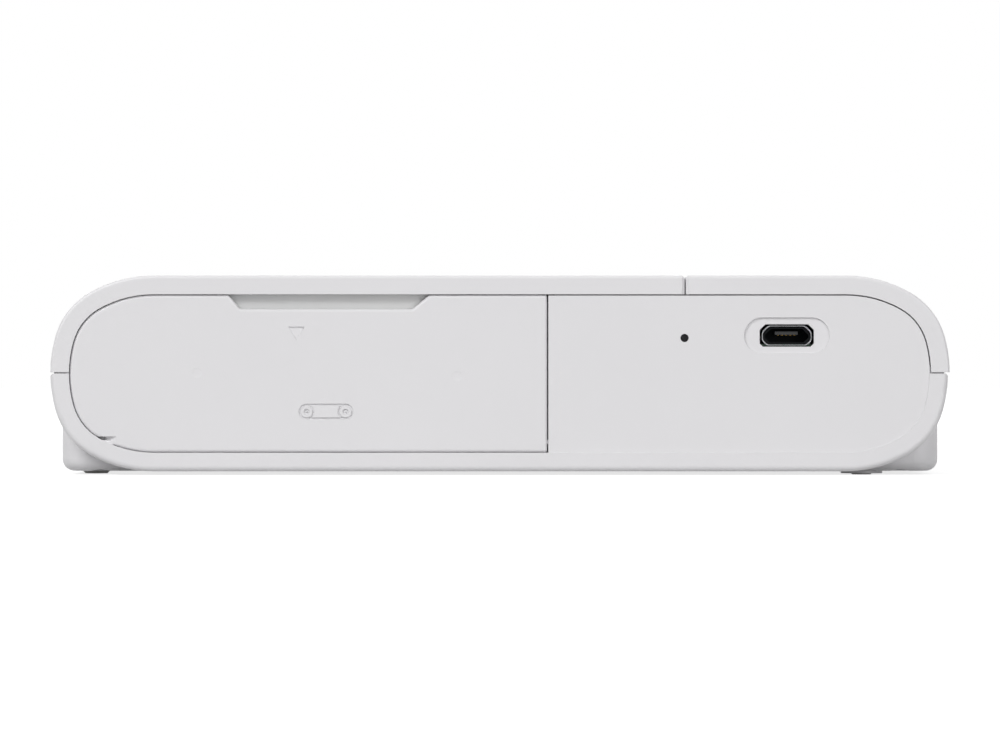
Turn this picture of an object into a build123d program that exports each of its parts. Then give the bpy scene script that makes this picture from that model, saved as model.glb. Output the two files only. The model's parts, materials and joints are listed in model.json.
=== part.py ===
from build123d import *
import math
import os

# A pocket photo printer that prints from an ink cassette. Millimetres.
# X runs along the long side, Y away from the viewer and Z up. The origin lies
# under the middle of the case, level with the lower faces of its feet.

# Case
case_length = 143.3
case_width = 102.2
case_height = 31.2
foot_reach = 0.6            # how far the feet stand out below the case
wall = 1.8
band = 3.0                  # the flat ring round both long sides
panel_recess = 0.2          # the side panels lie this far behind the band
end_radius = 22.0           # the end's outline: three tangent arcs a quarter
end_turn = 15.6             # degrees turned by the first arc, then by the first two
shoulder_radius = 11.65
shoulder_turn = 60.4
upper_edge = 0.5            # rounding of the band's outer edge
lower_edge = 0.9
seam_gap = 0.2
panel_gap = 0.18            # between the fixed side panel and the upper band
lower_trim = 0.25           # the lower case ends this far short of the upper at the right
seam_x = 29.5               # the seam between paper cover and rear top case
seam_chamfer = 0.4
lap = 0.8                   # thickness of the lips behind the seams
lap_gap = 0.1
lip_clearance = 1.6         # where the lips behind the band start, above the parting line
rim_chamfer = 0.4           # on the lower case's outer edge at the parting line
tongue_thickness = 1.2      # the lower case's rim stands inside the upper shells' walls
tongue_height = 1.0
parting_rise = 0.1          # the parting line's height above the middle of the case

# The case's levels and walls, from the sizes above. Pieces that follow a wall, an end
# or the top are placed from these
half_length = case_length / 2
half_width = case_width / 2
inner_width = half_width - wall
panel_y = half_width - panel_recess
bottom_z = foot_reach
top_z = foot_reach + case_height
middle_z = bottom_z + case_height / 2
parting_z = middle_z + parting_rise
skin_z = top_z - wall
floor_z = bottom_z + wall

# Base behind the front band
base_end_inset = 1.4
base_side_inset = 4.2
base_corner = 4.0
base_edge = 1.9
base_height = 8.5
left_foot = (6.05 - half_length, half_width - 20.1)     # X and distance from the middle line
left_foot_radius = 2.25
right_foot = (half_length - 13.55, half_width - 9.2)
right_foot_radius = 1.95
pad_radius = 3.35
pad_height = 0.4
foot_recess = 0.6
foot_chamfer = 0.45
screw_right = (half_length - 7.65, half_width - 7.1)
screw_left = (7.65 - half_length, half_width - 7.1)
screw_head_radius = 1.8
screw_head_height = 1.2
screw_radius = 0.9
screw_length = 13.0
boss_radius = 2.6
boss_split_z = 10.0
pedestal_y = (inner_width - 12.7, inner_width - 11.1)   # the head's pedestals, from the middle line
pedestal_reach = 2.4        # round the head's pivot
floor_rib_x = (10.15 - half_length, -28.0, 26.6)
floor_rib_height = 1.2
floor_rib_half_width = 32.0
rib_thickness = 1.0
fence_height = 4.0          # above the battery's lower face
fence_thickness = 1.2
fence_gap = 0.3
fit = 0.05                  # radial clearance of a running fit
seat = 0.15                 # clearance between pieces that stay put

# Ink door
door_right = 7.5
door_gap = 0.2
door_side_gap = 0.2
door_thickness = 1.4
door_edge = 0.5
door_corner = 0.3
door_pin_radius = 0.4
door_pin_reach = 1.5
door_pivot_depth = 0.65     # the hinge's axis behind the door's face, and above its lower edge
door_pivot_rise = 1.5
stub_rise = 1.0             # of the door's lower edge, where its left stub leaves it
stub_length = 3.9
backing = 0.8               # the tray's rail stands this far past the gap above the door
notch_top = (-43.3, -11.25)
notch_floor = (-41.4, -13.9)
notch_floor_z = top_z - 5.3
notch_corner = 0.6
door_rib = 0.9
door_rib_x = (-50.0, -27.0, -4.0)
door_rib_span = (-55.0, 3.0)
door_rib_z = (8.0, 22.4)    # the upper one carries the snaps, below the tray's rail
door_rib_width = 0.8
snap_x = (-53.0, 1.0)
snap_half_width = 1.5
snap_reach = 2.0
snap_height = 0.8
snap_hook = 0.6
relief_depth = 1.1          # at the door's left stub, so that the open door clears the band
relief_height = 0.95        # above the hinge's axis

# Paper cover
cover_rib_y = (-30.0, -10.0, 10.0, 30.0)
cover_rib_x = (17.65 - half_length, seam_x - 9.5)
end_rib_x = (1.15 - half_length, 6.45 - half_length)   # stiffens the cover's curved end
end_rib_half_width = 36.0
end_rib_z = (parting_z + 4.3, parting_z + 5.3)
cover_boss_x = (21.65 - half_length, seam_x - 13.5)
cover_boss_y = 20.0
cover_boss_radius = 2.2
frame_x = (13.65 - half_length, seam_x - 7.5)
frame_thickness = 1.0
frame_corner = 3.0
frame_window = ((-30.0, -10.0), (-5.0, 5.0))
rail_left = 4.0             # where the frame's two rails start
lug_length = 4.0
foam_distance = 16.0        # the pressure pads, from the middle line
foam_half_width = 4.0
foam_x = (-6.0, 3.0)        # before and behind the feed shaft
foam_height = 0.5

# Paper cover hinge
hinge_back = 12.0           # the hinge pin behind the seam, and below the top
hinge_drop = 2.5
arm_inner_radius = 12.5
arm_thickness = 1.6
arm_turn = 60.0             # degrees that the arm curves round the fixed edge
arm_boss_radius = 1.3
hinge_pin_radius = 0.6
arm_span = (inner_width - 6.8, inner_width - 3.3)       # distances from the middle line
ear_thickness = 1.1

# Power button
button_spot = (47.0, 21.1 - half_width)
button_radius = 4.6
button_travel = 0.5
ring_width = 0.8
flange_width = 1.0

# Front sockets
pinhole_spot = (29.4, 21.85)
pinhole_radius = 0.65
port_spot = (45.7, 22.25)
port_recess_size = (13.6, 5.7)
port_recess_depth = 0.35
port_size = (8.64, 3.55)
port_corners = (0.9, 0.5)   # cut off the upper and the lower corners
socket_size = (7.5, 2.65)
socket_lip_size = (7.9, 3.15)
socket_wall = 0.25
socket_depth = 5.4
socket_corners = (1.0, 0.75)

# Paper way
paper_z = 15.2
paper_half_width = inner_width - 11.8
slot_height = 2.2
tray_floor_z = 21.5
tray_wall = 1.0
tray_x = (9.65 - half_length, seam_x - 4.5)
tray_half_width = inner_width - 9.8
tray_height = skin_z - 1.7 - tray_floor_z - tray_wall   # leaves room for the cover's frame
tray_ledge_z = 24.0
rail_gap = 0.4              # between the tray's front rail and the skin above it
rail_end_x = 6.0
feed_slot_y = (11.2, 20.8)

# Rollers and drive, placed by X and Z
module = 0.5
backlash = 0.16
pressure_turn = 20
grip_teeth = 20
feed_teeth = 20
take_up_teeth = 20
idler_teeth = 14
small_teeth = 12
big_teeth = 28
pinion_teeth = 10
gear_y = (inner_width - 7.1, inner_width - 5.3)
outer_gear_y = (inner_width - 4.7, inner_width - 2.9)
grip_spot = (3.6, 13.1)
feed_spot = (18.0, 19.1)
platen_x = -16.0
spool_z = 9.0
spool_distance = 40.0
compound_turn = -20         # degrees from the grip roller's axis
motor_turn = -8             # degrees from the compound gear's axis
grip_radius = 2.0
grip_journal = 1.5
pinch_radius = 2.2
pinch_journal = 1.0
platen_radius = 3.0
platen_journal = 1.2
feed_radius = 3.6
feed_journal = 1.5
pinch_tyre_y = (-28.0, 0.0, 28.0)
pinch_tyre_length = 12.0
feed_tyre_y = (-16.0, 16.0)
feed_tyre_length = 8.0
platen_half_width = inner_width - 12.8
spindle_radius = 1.2
hub_radius = 1.48
motor_shaft_radius = 0.75
paper_gap = 0.1             # between a roller and the paper plane
stud_radius = 0.8
motor_radius = 5.0
motor_length = 20.0
plate_thickness = 1.0
front_plate_y = 7.8 - inner_width
rear_plate_y = inner_width - 9.3
plate_x = (-61.0, 26.5)
plate_z = (2.8, 23.8)
tie_rod_spots = ((-57.0, 18.0), (25.0, 17.4))
tie_rod_radius = 1.2

# Thermal head
head_pivot = (-36.0, 6.0)
head_pivot_radius = 1.5
head_half_width = inner_width - 14.9
head_top_z = 11.2
strip_reach = (5.5, 2.0)    # the heating strip, before and behind the platen
pocket_count = 4
pocket_web = 2.2            # the wall left between two pockets
pocket_wall_gap = 0.5       # between a pocket and the block of fins in it
fin_pitch = 2.2
fin_thickness = 0.8

# Ink cassette
cassette_y = (5.8 - inner_width, inner_width - 10.3)
housing_radius = 5.7
housing_wall = 1.0
spool_radius = 2.0
spool_bore = 1.3
supply_roll = 4.2
take_up_roll = 2.8
ribbon_z = 14.35
ribbon_half_width = inner_width - 13.8
bar_height = 2.5
bar_width = 4.5
bar_back_width = 1.8

# Board and battery
board_x = (38.6, half_length - 5.15)
board_y = (1.3 - inner_width, inner_width - 13.3)
board_thickness = 1.0
board_posts = ((board_x[1] - 8.0, 9.3 - inner_width), (40.8, 9.1 - inner_width),
               (board_x[1] - 8.0, inner_width - 9.0))
board_post_radius = 1.7
shield_margins = (6.4, 3.5)  # from the board's left and right edges
shield_corner = 0.8
battery_x = (30.0, half_length - 5.65)
battery_half_width = inner_width - 13.3
battery_z = (3.0, 12.8)
switch_height = 2.4
switch_stem = 0.8

# Release lever and eject lever
lever_x = (11.65 - half_length, 28.65 - half_length)
lever_z = (skin_z - 9.4, skin_z - 4.6)
lever_y = (inner_width - 1.7, inner_width - 0.4)
lever_travel = 3.5
knob_x = (lever_x[0] + 6.0, lever_x[0] + 10.0)
knob_z = (lever_z[0] + 0.6, lever_z[1] - 0.6)
catch_x = (lever_x[0] + 0.5, lever_x[0] + 1.9)      # the cover's catch
lever_nose_x = (lever_x[0] + 3.7, lever_x[0] + 5.9)  # the lever's upright nose beside it
eject_pivot = (-57.0, 6.5)

# Places that follow from the sizes above
cover_edge_x = seam_x - seam_gap / 2
rear_edge_x = seam_x + seam_gap / 2
panel_left = door_right + door_side_gap
door_pivot_y = -panel_y + door_pivot_depth
door_pivot_z = bottom_z + band + door_gap + door_pivot_rise
hinge_spot = (seam_x + hinge_back, top_z - hinge_drop)
pinch_spot = (grip_spot[0], paper_z + paper_gap + pinch_radius)
platen_spot = (platen_x, paper_z + paper_gap + platen_radius)
board_z = port_spot[1] - socket_size[1] / 2 - board_thickness
rear_plate_back = rear_plate_y + plate_thickness
pocket_pitch = 2 * head_half_width / pocket_count
pocket_half_width = (pocket_pitch - pocket_web) / 2
pocket_y = [pocket_pitch * (i - (pocket_count - 1) / 2) for i in range(pocket_count)]
far = 200.0                 # beyond everything


def mesh_distance(teeth, other_teeth):
    return module * (teeth + other_teeth) / 2


def offset_spot(spot, distance, turn):
    angle = math.radians(turn)
    return (spot[0] + distance * math.cos(angle), spot[1] + distance * math.sin(angle))


def meeting_spot(first, second, reach, other_reach):
    """The upper point at the two given distances from two points."""
    span = math.dist(first, second)
    along = (reach**2 - other_reach**2 + span**2) / (2 * span)
    rise = math.sqrt(reach**2 - along**2)
    dx = (second[0] - first[0]) / span
    dz = (second[1] - first[1]) / span
    return (first[0] + along * dx - rise * dz, first[1] + along * dz + rise * dx)


take_up_spot = (grip_spot[0] - math.sqrt(mesh_distance(grip_teeth, take_up_teeth)**2
                                         - (grip_spot[1] - spool_z)**2), spool_z)
supply_spot = (take_up_spot[0] - spool_distance, spool_z)
idler_spot = meeting_spot(grip_spot, feed_spot, mesh_distance(grip_teeth, idler_teeth),
                          mesh_distance(feed_teeth, idler_teeth))
compound_spot = offset_spot(grip_spot, mesh_distance(grip_teeth, small_teeth), compound_turn)
motor_spot = offset_spot(compound_spot, mesh_distance(big_teeth, pinion_teeth), motor_turn)


# Basic forms

def block(x, y, z):
    """A box from three pairs of low and high values."""
    spans = (x, y, z)
    size = [high - low for low, high in spans]
    middle = [(high + low) / 2 for low, high in spans]
    return Pos(*middle) * Box(*size)


def rod(axis, spot, span, radius):
    """A cylinder along an axis, through a spot given by the two other coordinates."""
    middle = (span[0] + span[1]) / 2
    length = span[1] - span[0]
    if axis == "X":
        return Pos(middle, spot[0], spot[1]) * Rot(Y=90) * Cylinder(radius, length)
    if axis == "Y":
        return Pos(spot[0], middle, spot[1]) * Rot(X=90) * Cylinder(radius, length)
    return Pos(spot[0], spot[1], middle) * Cylinder(radius, length)


def tube(axis, spot, span, radius, bore):
    return rod(axis, spot, span, radius) - rod(axis, spot, span, bore)


def along_y(face, y):
    """A flat outline in X and Z, drawn out between two Y values."""
    return extrude(Plane.XZ.offset(-y[1]) * face, y[1] - y[0], dir=(0, -1, 0))


def polygon(points):
    return make_face(Polyline(*points, close=True))


def both_sides(span, side):
    """A span of distances from the middle line, as Y values on one side of it."""
    return (span[0], span[1]) if side > 0 else (-span[1], -span[0])


def group(solids):
    return Compound(list(solids))


# The case's outline

def top_radius():
    """The radius of the third arc, which brings the outline up to the flat top."""
    first_turn = math.radians(end_turn)
    second_turn = math.radians(shoulder_turn)
    return (case_height / 2 - (end_radius - shoulder_radius) * math.sin(first_turn)
            - shoulder_radius * math.sin(second_turn)) / (1 - math.sin(second_turn))


def quarter_arcs(inset, reach):
    """The upper right quarter, from the end's middle to the flat top, and where the flat starts."""
    radii = (end_radius, shoulder_radius, top_radius())
    turns = (0, end_turn, shoulder_turn, 90)
    centre = Vector(reach - end_radius, 0)
    arcs = []
    for i, radius in enumerate(radii):
        if i > 0:
            turn = math.radians(turns[i])
            centre += Vector(math.cos(turn), math.sin(turn)) * (radii[i - 1] - radius)
        arcs.append(CenterArc(centre, radius - inset, turns[i], turns[i + 1] - turns[i]))
    return arcs, centre.X


def end_outline(inset=0.0, right_trim=0.0):
    """The case seen from the side, drawn in by an even inset."""
    right, right_flat = quarter_arcs(inset, half_length - right_trim)
    left, left_flat = quarter_arcs(inset, half_length)
    upper = right + [mirror(arc, Plane.YZ) for arc in left]
    lower = [mirror(arc, Plane.XZ) for arc in upper]
    rise = case_height / 2 - inset
    flats = [Line((-left_flat, level), (right_flat, level)) for level in (rise, -rise)]
    return Pos(0, middle_z) * make_face(upper + lower + flats)


def side_edges(solid, skip):
    """The outline edges of both long sides, without those that skip names."""
    def on_side(edge):
        return all(abs(abs(v.Y) - half_width) < 1e-4 for v in edge.vertices())
    return [edge for edge in solid.edges() if on_side(edge) and not skip(edge.center())]


def cavity(inset=wall, half_span=inner_width, right_trim=0.0):
    return along_y(end_outline(inset, right_trim), (-half_span, half_span))


def below(z):
    return block((-far, far), (-far, far), (-far, z))


def above(z):
    return block((-far, far), (-far, far), (z, far))


def left_of(x):
    return block((-far, x), (-far, far), (-far, far))


def right_of(x):
    return block((x, far), (-far, far), (-far, far))


# Case shells

def base_block(inset, low_z, high_z):
    size_x = 2 * (half_length - base_end_inset - inset)
    size_y = 2 * (half_width - base_side_inset - inset)
    shape = RectangleRounded(size_x, size_y, base_corner - inset)
    return extrude(Plane.XY.offset(low_z) * shape, high_z - low_z, dir=(0, 0, 1))


def panel_lip(side, from_x):
    """The lip that stands behind the upper band, on the fixed side panel."""
    y = both_sides((inner_width - lap_gap - lap, inner_width - lap_gap), side)
    ring = along_y(end_outline(band - 1.0, lower_trim) - end_outline(band + 1.2, lower_trim), y)
    root_y = both_sides((inner_width - lap_gap - lap, inner_width + 0.3), side)
    root = along_y(end_outline(band + 0.4, lower_trim) - end_outline(band + 1.2, lower_trim), root_y)
    return (ring + root) & right_of(from_x) & above(parting_z + lip_clearance)


def port_outline(size, corners, centre):
    """A rectangle with its upper and lower corners cut off by two different sizes."""
    half_x, half_z = size[0] / 2, size[1] / 2
    upper, lower = corners
    right = [(half_x - lower, -half_z), (half_x, lower - half_z), (half_x, half_z - upper),
             (half_x - upper, half_z)]
    left = [(-x, z) for x, z in reversed(right)]
    return Pos(*centre) * polygon(right + left)


def lower_case():
    cut_z = parting_z - seam_gap / 2
    outer = along_y(end_outline(0, lower_trim), (-half_width, half_width)) & below(cut_z)
    outer = fillet(side_edges(outer, lambda c: c.Z > cut_z - 1e-3), lower_edge)
    for x, inward in ((-half_length, rim_chamfer), (half_length - lower_trim, -rim_chamfer)):
        corner = [(x + 2 * inward, cut_z + rim_chamfer), (x - inward, cut_z - 2 * rim_chamfer),
                  (x - inward, cut_z + rim_chamfer)]
        outer -= along_y(polygon(corner), (-half_width, half_width))
    base = base_block(0, bottom_z, bottom_z + base_height)
    base = fillet(base.faces().sort_by(Axis.Z)[0].edges(), base_edge)
    room = base_block(wall, floor_z, bottom_z + base_height + 0.2)
    tongue = cavity(wall - tongue_thickness, inner_width + tongue_thickness, lower_trim)
    tongue &= block((-far, far), (-far, far), (cut_z - 0.2, cut_z + tongue_height))
    shell = outer + base + tongue - cavity(right_trim=lower_trim) - room
    # side panels: the near one from the door to the right end, the far one all along
    panel = end_outline(band + panel_gap)
    near = along_y(panel, (-panel_y, -inner_width)) & right_of(panel_left)
    rear = along_y(panel, (inner_width, panel_y))
    recess = along_y(end_outline(band, lower_trim), (panel_y, half_width + 1))
    near_recess = along_y(end_outline(band, lower_trim), (-half_width - 1, -panel_y))
    opening = along_y(end_outline(band), (-half_width - 1, -inner_width + 0.01)) & left_of(panel_left)
    lever_room = (lever_x[0] - 1.5, lever_nose_x[1] + lever_travel + 0.3)
    far_lip = panel_lip(1, -half_length) - block(lever_room, (0, far), (0, far))
    shell = shell + near + rear + panel_lip(-1, panel_left + 1.0) + far_lip
    shell = shell - recess - near_recess - opening
    # paper slot in the left end wall, open to the parting line
    shell -= block((-half_length - 1, -half_length + 4), (-paper_half_width, paper_half_width),
                   (cut_z - slot_height, cut_z + 2 * tongue_height))
    shell += floor_features()
    for side in (-1, 1):
        pad_spot = (right_foot[0], side * right_foot[1])
        shell += rod("Z", pad_spot, (bottom_z - pad_height, bottom_z + 0.3), pad_radius)
    shell -= floor_cuts()
    shell -= front_cuts()
    # release lever slot in the rear panel, with rails that hold the lever
    shell -= block((knob_x[0] - 0.3, knob_x[1] + lever_travel + 0.3), (inner_width - 1, half_width),
                   (knob_z[0] - 0.3, knob_z[1] + 0.3))
    shell += lever_rails()
    return shell


def lever_rails():
    rails = []
    for level, lip in ((lever_z[1] + 0.2, -1), (lever_z[0] - 0.2, 1)):
        x = (lever_nose_x[1] + lever_travel + 0.3, lever_x[1] + 0.5) if lip < 0 else lever_x
        z = sorted((level, level - lip * 0.8))
        rails.append(block(x, (lever_y[0] - 0.9, inner_width + 0.3), z))
        lip_z = sorted((level - lip * 0.8, level + lip * 0.7))
        rails.append(block(x, (lever_y[0] - 0.9, lever_y[0] - 0.1), lip_z))
    return rails[0] + rails[1] + rails[2] + rails[3]


def floor_features():
    """Bosses, battery fence, head pedestals and ribs that stand on the floor."""
    low = floor_z - 0.4
    features = []
    for side in (-1, 1):
        for x, y in (screw_left, screw_right):
            features.append(rod("Z", (x, side * y), (low, boss_split_z), boss_radius))
        x, z = head_pivot
        features.append(block((x - pedestal_reach, x + pedestal_reach), both_sides(pedestal_y, side),
                              (low, z + pedestal_reach)))
        fence_y = (battery_half_width + fence_gap, battery_half_width + fence_gap + fence_thickness)
        features.append(block(battery_x, both_sides(fence_y, side), (low, battery_z[0] + fence_height)))
    features.append(block((battery_x[0] - fence_gap - fence_thickness, battery_x[0] - fence_gap),
                          (-battery_half_width, battery_half_width), (low, battery_z[0] + fence_height)))
    for x in floor_rib_x:
        features.append(block((x, x + rib_thickness), (-floor_rib_half_width, floor_rib_half_width),
                              (low, floor_z + floor_rib_height)))
    # door pivot boss behind the panel's edge
    features.append(block((panel_left, panel_left + door_pin_reach + 1.0),
                          (-inner_width - 0.3, -inner_width + 1.0),
                          (bottom_z + band, door_pivot_z + 1.3)))
    # board posts, clear of the paper way
    for spot in board_posts:
        features.append(rod("Z", spot, (low, board_z - seat), board_post_radius))
    # slotted posts for the reset board
    for low_x in (pinhole_spot[0] - 5.0, pinhole_spot[0] + 3.7):
        features.append(block((low_x, low_x + 1.3), (-inner_width - 0.3, reset_board_y()[1] + 0.3),
                              (pinhole_spot[1] - 3.6, pinhole_spot[1] + 3.4)))
    whole = features[0]
    for feature in features[1:]:
        whole += feature
    return whole


def reset_board_y():
    return (-inner_width + 2.3, -inner_width + 3.0)


def floor_cuts():
    cuts = []
    for side in (-1, 1):
        for x, y in (screw_left, screw_right):
            spot = (x, side * y)
            cuts.append(rod("Z", spot, (bottom_z - 1, bottom_z + screw_head_height + 0.4),
                            screw_head_radius + seat))
            cuts.append(rod("Z", spot, (bottom_z - 1, boss_split_z + 1), screw_radius + seat))
        for spot, radius in ((left_foot, left_foot_radius), (right_foot, right_foot_radius)):
            cuts.append(rod("Z", (spot[0], side * spot[1]), (-1, bottom_z + foot_recess), radius + fit))
        pivot_y = (pedestal_y[0] - 0.6, pedestal_y[1] + 0.2)
        cuts.append(rod("Y", head_pivot, both_sides(pivot_y, side), head_pivot_radius + fit))
    # door pivot holes: right in the panel's edge, left in the band's lower corner
    pivot = (door_pivot_y, door_pivot_z)
    cuts.append(rod("X", pivot, (panel_left - 0.1, panel_left + door_pin_reach + 0.3),
                    door_pin_radius + fit))
    cuts.append(rod("X", pivot, (left_pin_x()[0] - 0.3, left_pin_x()[1]), door_pin_radius + fit))
    # slots in the two posts for the reset board
    y = reset_board_y()
    cuts.append(block((pinhole_spot[0] - 4.3, pinhole_spot[0] + 4.3), (y[0] - seat, y[1] + seat),
                      (pinhole_spot[1] - 3.2, pinhole_spot[1] + 5)))
    whole = cuts[0]
    for cut in cuts[1:]:
        whole += cut
    return whole


def left_pin_x():
    """The ends of the door's left stub, which leaves the door where its lower corner turns up."""
    radius = top_radius() - band - door_gap
    flat = quarter_arcs(0, half_length)[1]
    root = -flat - math.sqrt(radius**2 - (radius - stub_rise)**2)
    return (root - stub_length, root)


def front_cuts():
    pinhole = rod("Y", pinhole_spot, (-half_width - 1, -inner_width + 1), pinhole_radius)
    recess = along_y(Pos(*port_spot) * SlotOverall(*port_recess_size),
                     (-half_width - 1, -panel_y + port_recess_depth))
    port = along_y(port_outline(port_size, port_corners, port_spot), (-half_width - 1, -inner_width + 1))
    return pinhole + recess + port


def upper_shell(keep, seam_edge_x):
    """The part of the upper shell on one side of the seam, with its rounded side edges."""
    cut_z = parting_z + seam_gap / 2
    outer = along_y(end_outline(), (-half_width, half_width)) & above(cut_z) & keep
    outer = fillet(side_edges(outer, lambda c: c.Z < cut_z + 1e-3 or abs(c.X - seam_edge_x) < 1e-3),
                   upper_edge)
    seam_edges = [edge for edge in outer.edges()
                  if abs(edge.center().X - seam_edge_x) < 1e-3 and edge.center().Z > top_z - 1e-3]
    outer = chamfer(seam_edges, seam_chamfer)
    groove = tongue_thickness + lap_gap
    groove_top = cut_z - seam_gap + tongue_height + 2 * lap_gap
    outer -= cavity(wall - groove, inner_width + groove) & below(groove_top)
    side_panels = along_y(end_outline(band), (-half_width - 1, half_width + 1))
    rims = outer - side_panels
    skin = outer - cavity()
    ends = (rims & block((-far, far), (-half_width, -inner_width), (-far, far))) \
        + (rims & block((-far, far), (inner_width, half_width), (-far, far)))
    middle = skin & block((-far, far), (-inner_width, inner_width), (-far, far))
    return middle + ends


def rear_top_case():
    shell = upper_shell(right_of(rear_edge_x), rear_edge_x)
    # lip below the cover's edge, between the two hinge arms
    lip_y = (-arm_span[0] + 0.8 + ear_thickness, arm_span[0] - 0.8 - ear_thickness)
    shell += block((rear_edge_x - 1.2, rear_edge_x + 2.0), lip_y, (skin_z - 1.0, skin_z - 0.2))
    shell += block((rear_edge_x, rear_edge_x + 2.0), lip_y, (skin_z - 0.3, skin_z + 0.1))
    x, z = hinge_spot
    for side in (-1, 1):
        for span in ((arm_span[0] - 0.2 - ear_thickness, arm_span[0] - 0.2),
                     (arm_span[1] + 0.2, arm_span[1] + 0.2 + ear_thickness)):
            ear = block((x - 2, x + 2), both_sides(span, side), (z, skin_z + 0.1))
            ear += rod("Y", hinge_spot, both_sides(span, side), 2.0)
            shell += ear - rod("Y", hinge_spot, both_sides((span[0] - 1, span[1] + 1), side),
                               hinge_pin_radius + 0.02)
        shell -= block((x - 2, x + 2), both_sides((arm_span[0] - 0.1, arm_span[1] + 0.1), side),
                       (skin_z - 0.01, skin_z + 0.8))
        spot = (screw_right[0], side * screw_right[1])
        shell += rod("Z", spot, (boss_split_z + 0.2, top_z), boss_radius - 0.3) & cavity(wall - 0.2)
        shell -= rod("Z", spot, (boss_split_z, screw_length + 3.5), screw_radius + 0.03)
    # button hole
    ring_radius = button_radius + fit * 2 + ring_width
    shell -= rod("Z", button_spot, (skin_z - 1, top_z + 1), ring_radius + 0.1)
    return shell


def paper_cover():
    shell = upper_shell(left_of(cover_edge_x), cover_edge_x)
    # stiffening ribs under the skin, down to the inner frame
    for y in cover_rib_y:
        shell += block(cover_rib_x, (y - rib_thickness / 2, y + rib_thickness / 2),
                       (cover_frame_z()[1] + seat, skin_z + 0.1))
    shell += block(end_rib_x, (-end_rib_half_width, end_rib_half_width), end_rib_z) \
        & along_y(end_outline(wall / 3), (-half_width, half_width))
    # bosses for the inner frame's screws
    for x in cover_boss_x:
        for side in (-1, 1):
            shell += rod("Z", (x, side * cover_boss_y), (cover_frame_z()[1] + seat, skin_z + 0.1),
                         cover_boss_radius)
    # catch for the release lever, hanging from the far rim
    shell += block(catch_x, (lever_y[0] + 0.1, lever_y[1] - 0.1), (lever_z[1] + 0.6, skin_z + 0.1))
    return shell


def cover_frame_z():
    low = tray_floor_z + tray_wall + tray_height - 0.6
    return (low, low + frame_thickness)


def arm_profile():
    """A gooseneck in X and Z: from the cover, round below the fixed edge, up to the pin."""
    x, z = hinge_spot
    middle_radius = arm_inner_radius + arm_thickness / 2
    ring = Circle(arm_inner_radius + arm_thickness) - Circle(arm_inner_radius)
    reach = 3 * arm_inner_radius
    turn = math.radians(180 + arm_turn)
    wedge = polygon([(0, 0), (-reach, 0), (-reach, -reach),
                     (reach * math.cos(turn), reach * math.sin(turn))])
    rise = skin_z - lap_gap - z
    neck = Pos(-middle_radius, rise / 2) * Rectangle(arm_thickness, rise + 0.02)
    leg = Rot(Z=180 + arm_turn) * (Pos(middle_radius / 2, 0) * Rectangle(middle_radius, arm_thickness))
    knee = Pos(middle_radius * math.cos(turn), middle_radius * math.sin(turn)) * Circle(arm_thickness / 2)
    profile = (ring & wedge) + neck + leg + knee + Circle(arm_boss_radius)
    return Pos(x, z) * profile


def cover_inner_frame():
    low, high = cover_frame_z()
    frame = block(frame_x, (-arm_span[1], arm_span[1]), (low, high))
    frame = fillet(frame.edges().filter_by(Axis.Z), frame_corner)
    frame -= block(*frame_window, (low - 1, high + 1))
    root_x = (rail_left, hinge_spot[0] - arm_inner_radius)
    for side in (-1, 1):
        span = both_sides(arm_span, side)
        rail_z = (high - 0.1, skin_z - lap_gap)
        rail = block(root_x, span, rail_z)
        arm = along_y(arm_profile(), span) - rod("Y", hinge_spot, (span[0] - 1, span[1] + 1),
                                                hinge_pin_radius + fit)
        frame += rail + arm
        lug_x = (frame_x[1] - lug_length, hinge_spot[0] - arm_inner_radius)
        frame += block(lug_x, span, (high - 0.9, high + 0.2))
    return frame


def hinge_pins():
    span = (arm_span[0] - 0.4 - ear_thickness, arm_span[1] + 0.4 + ear_thickness)
    return group(rod("Y", hinge_spot, both_sides(span, side), hinge_pin_radius) for side in (-1, 1))


def pressure_pads():
    """Soft pads under the inner frame that press the paper onto the feed tyres."""
    low = cover_frame_z()[0]
    x = (feed_spot[0] + foam_x[0], feed_spot[0] + foam_x[1])
    span = (foam_distance - foam_half_width, foam_distance + foam_half_width)
    return group(block(x, both_sides(span, side), (low - foam_height, low)) for side in (-1, 1))


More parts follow.
